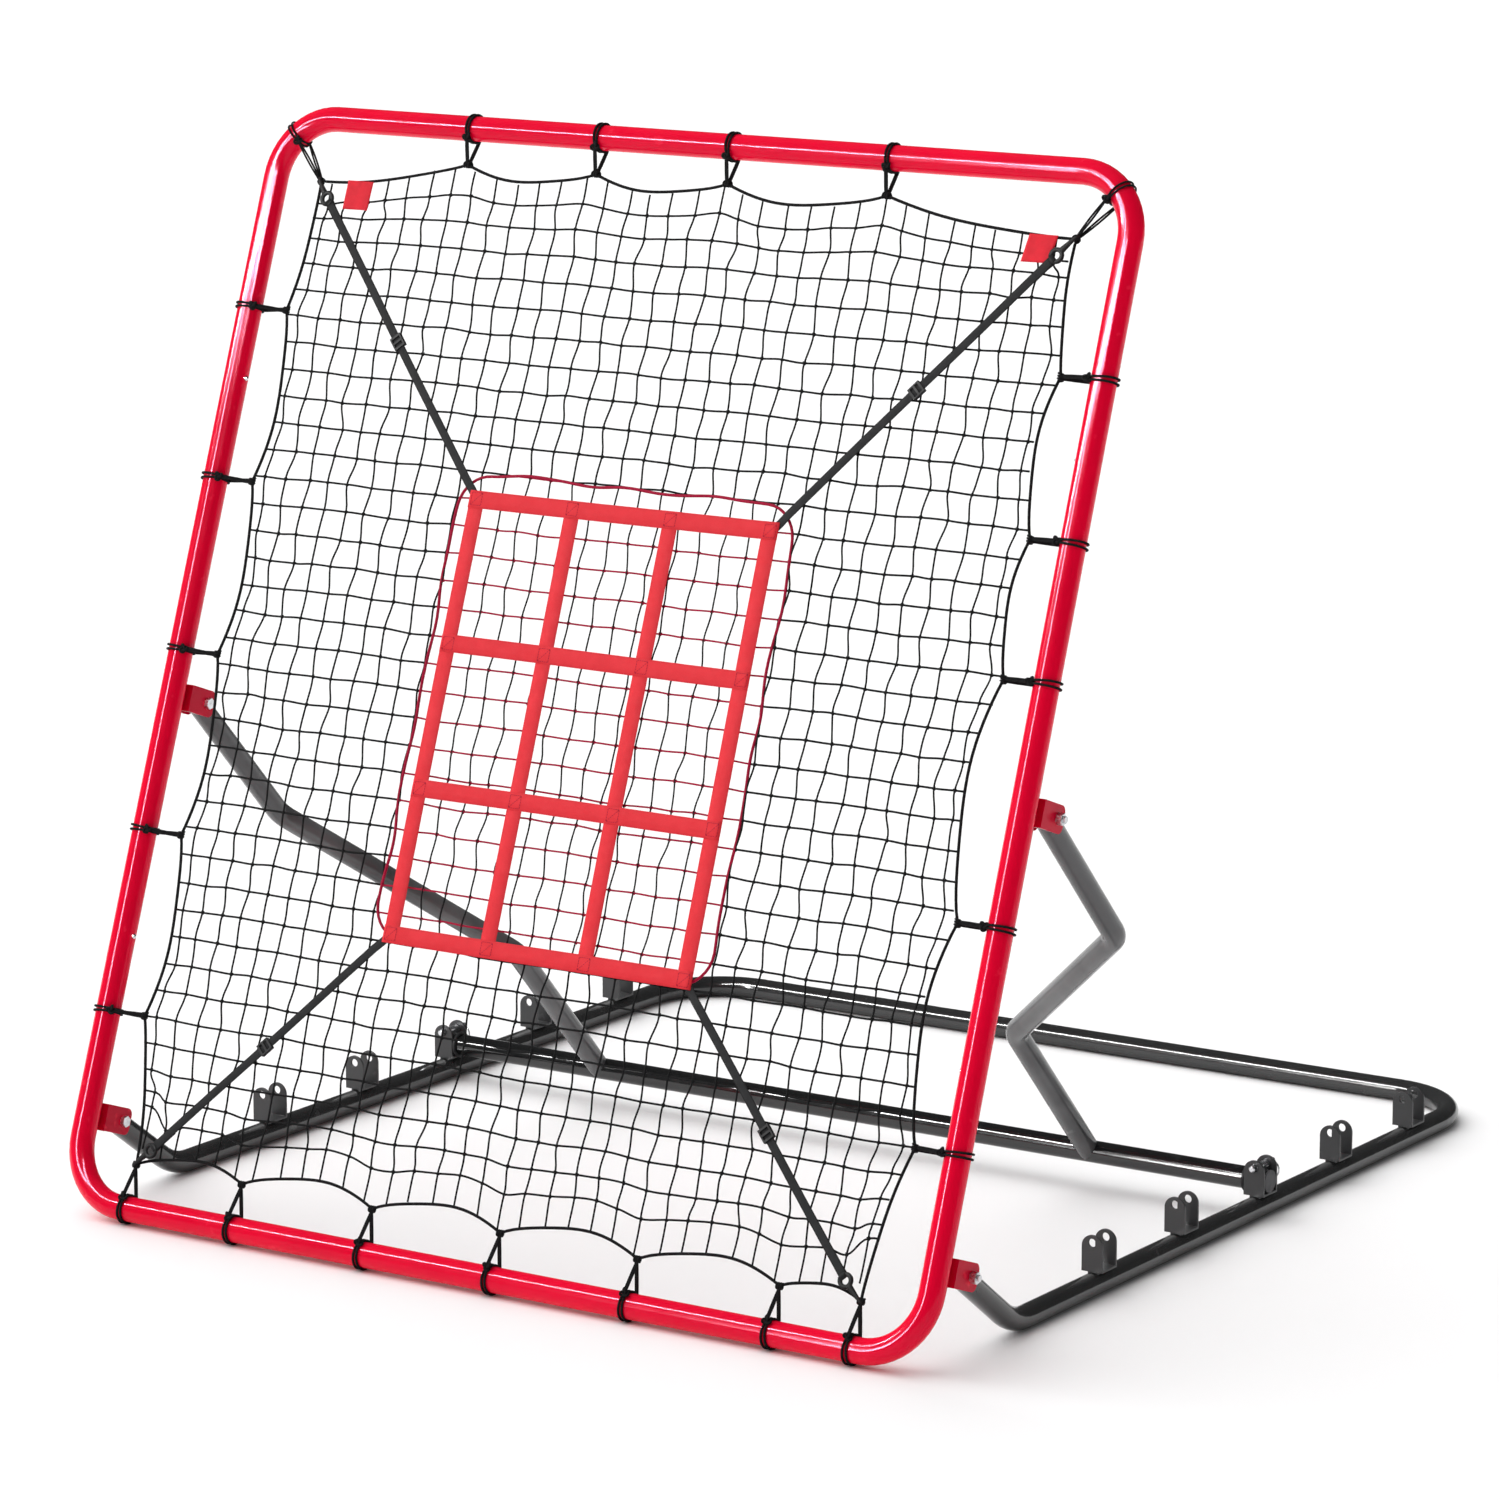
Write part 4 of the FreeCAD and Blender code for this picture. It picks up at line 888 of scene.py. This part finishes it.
def make_ties():
    """A tie at each place of border_points; those at the upper corners go round the bends."""
    rng = random.Random(23)
    held = border_points()
    groups = {name: [p for side, p in held if side == name]
              for name in ("top", "right", "bottom", "left")}
    groups["top"].append(groups["right"].pop(0))
    groups["bottom"].append(groups["left"].pop(0))
    for name, points in groups.items():
        cords, knots = Sweep(), Sweep()
        for point in points:
            at_corner = name == "top" and abs(point.x) > HALF - 2 * BEND
            if at_corner:
                side = math.copysign(1, point.x)
                outward = Vector((side, 0, 1)).normalized()
                onto = Vector((side * (HALF - BEND), 0, TALL - BEND)) + outward * BEND
            elif name == "top":
                onto, outward = Vector((point.x, 0, TALL)), Vector((0, 0, 1))
            elif name == "bottom":
                onto, outward = Vector((point.x, 0, 0)), Vector((0, 0, -1))
            else:
                side = 1 if name == "right" else -1
                onto, outward = Vector((side * HALF, 0, point.z)), Vector((side, 0, 0))
            tie(cords, knots, point, onto, outward, at_corner, rng)
        cords.piece(f"ties_{name}", "tie_cord", stands_for=(f"tie_loops_{name}",))
        knots.piece(f"tie_knots_{name}", "tie_cord")


# ---------------------------------------------------------------- webbing
STITCH = 3.1 * MM


def grid_lines():
    """Middles of the zone's four upright and four level bands."""
    half = BAND_WIDE / 2
    xs = np.linspace(ZONE_LOW.x + half, ZONE_HIGH.x - half, 4)
    ss = np.linspace(ZONE_LOW.z + half, ZONE_HIGH.z - half, 4)
    return xs, ss


def make_zone_grid():
    """Woven bands sewn into a grid, the level ones lying over the upright ones."""
    rng = random.Random(11)
    xs, ss = grid_lines()
    thick = 1.0 * MM
    back, front = ZONE_HIGH.y - thick / 2, ZONE_LOW.y + thick / 2
    up, level = Sweep(), Sweep()

    def wandering(places):
        """Each place with how far the band strays sideways there."""
        phase, pace = rng.uniform(0, 6.28), rng.uniform(3, 5)
        return [(place, 0.5 * MM * math.sin(phase + pace * k / len(places)))
                for k, place in enumerate(places)]

    heights = np.linspace(ZONE_LOW.z + 0.5 * MM, ZONE_HIGH.z - 0.5 * MM, 48)
    widths = np.linspace(ZONE_LOW.x, ZONE_HIGH.x, 61)
    for x in xs:
        line = [(x + stray, back, s) for s, stray in wandering(heights)]
        up.band(line, (1, 0, 0), (0, 1, 0), BAND_WIDE, thick)
    for s in ss:
        line = []
        for x, stray in wandering(widths):
            near = min(abs(x - c) for c in xs)
            over = 1 / (1 + (near / (BAND_WIDE * 0.62)) ** 6)
            line.append((x, back * (1 - over) + front * over, s + stray))
        level.band(line, (0, 0, 1), (0, 1, 0), BAND_WIDE, thick)
    up.piece("zone_bands_upright", "zone_webbing", stands_for=("strike_zone_grid",))
    level.piece("zone_bands_level", "zone_webbing")
    make_stitching(xs, ss)


def make_stitching(xs, ss):
    """A stitched square with one diagonal, where each two bands cross."""
    thread = Sweep()
    face = ZONE_LOW.y - 0.12 * MM
    inset = BAND_WIDE / 2 - 3 * MM
    for x, s in itertools.product(xs, ss):
        box = [(x - inset, s - inset), (x + inset, s - inset), (x + inset, s + inset),
               (x - inset, s + inset), (x - inset, s - inset), (x + inset, s + inset)]
        for (ax, az), (bx, bz) in zip(box, box[1:]):
            count = int(math.hypot(bx - ax, bz - az) / STITCH)
            for k in range(count):
                line = []
                for share, dip in ((0.12, 0.25), (0.33, 0), (0.61, 0), (0.82, 0.25)):
                    t = (k + share) / count
                    line.append((ax + (bx - ax) * t, face + dip * MM, az + (bz - az) * t))
                thread.cord(line, 0.28 * MM, 5)
    thread.piece("zone_stitching", "zone_cord")


EYES = {"upper": (534 * MM, 1294 * MM), "lower": (512 * MM, 76 * MM)}  # of the hooks
EYE_MIDDLE_R, EYE_WIRE_R = 7.4 * MM, 2.9 * MM
STRAP_THICK, STRAP_POINTS = 1.1 * MM, 90
STRAP_UNDER = 9 * MM        # how far a strap runs on under the grid's corner
TAIL_ENDS = (34, 26, 18, 11)            # mm back from the eye, behind the strap
ARM_R = 2.4 * MM
ARM_BEND = BORDER_R + 2.1 * MM


def strap_ends():
    """(name, grid corner, eye of the hook) of each corner strap."""
    ends = []
    for height, (eye_x, eye_s) in EYES.items():
        for name, side in (("left", -1), ("right", 1)):
            s = ZONE_HIGH.z if height == "upper" else ZONE_LOW.z
            x = ZONE_HIGH.x if side > 0 else ZONE_LOW.x
            ends.append((f"{height}_{name}", Vector((x, 0, s)), Vector((side * eye_x, 0, eye_s))))
    return ends


def make_straps():
    """Each strap runs from under the grid to its hook's ring, and back through it."""
    for name, corner, eye in strap_ends():
        along = (eye - corner).normalized()
        side = along.cross(Vector((0, 1, 0)))
        strap = Sweep()
        start, end = -STRAP_UNDER, (eye - corner).length - EYE_MIDDLE_R
        line = []
        for k in range(STRAP_POINTS):
            t = k / (STRAP_POINTS - 1)
            d = start + (end - start) * t
            ripple = 0.35 * MM * math.sin(9 * t + len(name))
            tuck = 1.5 * MM * max(0.0, 1 - max(d, 0) / (14 * MM))
            line.append(corner + along * d + Vector((0, ZONE_DEPTH + tuck, 0)) + side * ripple)
        strap.band(line, side, (0, 1, 0), STRAP_WIDE, STRAP_THICK)
        turned = [eye - along * (EYE_MIDDLE_R + d * MM) + Vector((0, ZONE_DEPTH + 1.5 * MM, 0))
                  for d in TAIL_ENDS]
        for k in range(16, -1, -1):
            a = math.pi * k / 16
            turned.append(eye - along * (EYE_MIDDLE_R - math.sin(a) * 4.2 * MM)
                          + Vector((0, ZONE_DEPTH - math.cos(a) * 3.6 * MM, 0)))
        turned = np.array(turned)
        sides = np.tile(side, (len(turned), 1))
        w, t = STRAP_WIDE / 2 * 0.96, 0.5 * MM
        section = [(-w, -t * 0.4), (-w + t, -t), (w - t, -t), (w, -t * 0.4),
                   (w, t * 0.4), (w - t, t), (-w + t, t), (-w, t * 0.4)]
        across = [a for a, _ in section] + [section[0][0]]
        frames = (sides, np.cross(sides, directions(turned, False)))
        strap.add(turned, section, across, False, frames)
        strap.piece(f"corner_strap_webbing_{name}", "strap_webbing",
                    stands_for=(f"corner_strap_{name}",))


def make_hooks():
    """Moulded hooks: a ring for the strap, and a tapering arm round the rope's corner."""
    held = border_points()
    hooks = Sweep()
    for name, _, eye in strap_ends():
        target = held[CORNER_PLACES[name]][1]
        eye = eye + Vector((0, ZONE_DEPTH, 0))
        toward = target - eye
        toward.y = 0
        reach = toward.length
        toward.normalize()
        ring = [eye + Vector((math.cos(a), 0, math.sin(a))) * EYE_MIDDLE_R
                for a in (TURN * k / 28 for k in range(28))]
        hooks.cord(ring, EYE_WIRE_R, 10, closed=True)
        arm, sizes = [], []
        for k in range(9):
            t = k / 8
            spot = eye + toward * (EYE_MIDDLE_R + (reach - EYE_MIDDLE_R) * t)
            spot.y = eye.y * (1 - t) - ARM_BEND * t
            arm.append(spot)
            sizes.append(1.7 - 0.8 * t)
        for k in range(1, 10):
            a = math.radians(28 * k)
            arm.append(target + (toward * math.sin(a) + FRONT * math.cos(a)) * ARM_BEND)
            sizes.append(0.88 - 0.03 * k)
        hooks.cord(arm, ARM_R, 9, scale=sizes)
    hooks.piece("strap_hooks", "buckle_plastic", stands_for=("corner_hooks",))


TAB_WIDE, TAB_THICK, TAB_DEPTH = 39 * MM, 0.7 * MM, -4.0 * MM
TAB_HEIGHT = 1301.5 * MM
TAB_CELLS = 12              # squares along each side of a tab's mesh


def make_tab(name, x, tall, slant, nodes):
    """A slightly curled cloth tab, closed round its rim, at the top of the net."""
    n, wide = TAB_CELLS, TAB_WIDE
    points, faces, uvs = [], [], []
    for layer in (0, 1):
        for i, j in itertools.product(range(n + 1), repeat=2):
            u, v = i / n - 0.5, j / n - 0.5     # from the tab's middle
            curl = 1.3 * MM * math.sin(3 * u + 1) * (0.5 - v) + 0.8 * MM * v
            points.append((x + u * wide + v * slant, TAB_DEPTH - curl * 0.8 + layer * TAB_THICK,
                           TAB_HEIGHT + v * tall))

    def at(layer, i, j):
        return (layer * (n + 1) + i) * (n + 1) + j

    for i, j in itertools.product(range(n), repeat=2):
        quad = [(i, j), (i + 1, j), (i + 1, j + 1), (i, j + 1)]
        for layer, order in ((0, quad), (1, quad[::-1])):
            faces.append([at(layer, a, b) for a, b in order])
            uvs += [(a / n * wide, b / n * tall) for a, b in order]
    rim = ([(i, 0) for i in range(n)] + [(n, j) for j in range(n)]
           + [(i, n) for i in range(n, 0, -1)] + [(0, j) for j in range(n, 0, -1)])
    for a, b in zip(rim, rim[1:] + rim[:1]):
        faces.append([at(0, *b), at(0, *a), at(1, *a), at(1, *b)])
        uvs += [(a[0] / n * wide, a[1] / n * tall)] * 4
    mesh = bpy.data.meshes.new(name)
    mesh.from_pydata([tuple(LEANING @ Vector(p)) for p in points], [], faces)
    layer = mesh.uv_layers.new(name="UVMap")
    layer.data.foreach_set("uv", np.array(uvs, np.float32).ravel())
    mesh.polygons.foreach_set("use_smooth", [k < 2 * n ** 2 for k in range(len(faces))])
    mesh.materials.append(MATERIALS["tab_cloth"])
    tab = bpy.data.objects.new(name, mesh)
    bpy.context.scene.collection.objects.link(tab)
    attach(tab, CARRIER)
    if nodes:
        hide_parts(*nodes)


def make_tabs():
    """Two cloth tabs on the rope, near the net's upper corners."""
    make_tab("corner_tab_left", -489 * MM, 37 * MM, 1.5 * MM, ("net_tabs",))
    make_tab("corner_tab_right", 508 * MM, 34 * MM, 6.0 * MM, ())


# ---------------------------------------------------------------- CAD parts
def dress_cad_parts():
    """Gives each CAD node the material of its slot in the record."""
    for name, node in NODES.items():
        material = MATERIALS[from_record(name)["material_slot"]]
        if node.material_slots:
            for place in node.material_slots:
                place.material = material
        else:
            node.data.materials.append(material)


photographed_from()
MATERIALS = make_materials()
studio()
dress_cad_parts()
make_net()
make_ropes()
make_ties()
make_zone_grid()
make_straps()
make_hooks()
make_tabs()
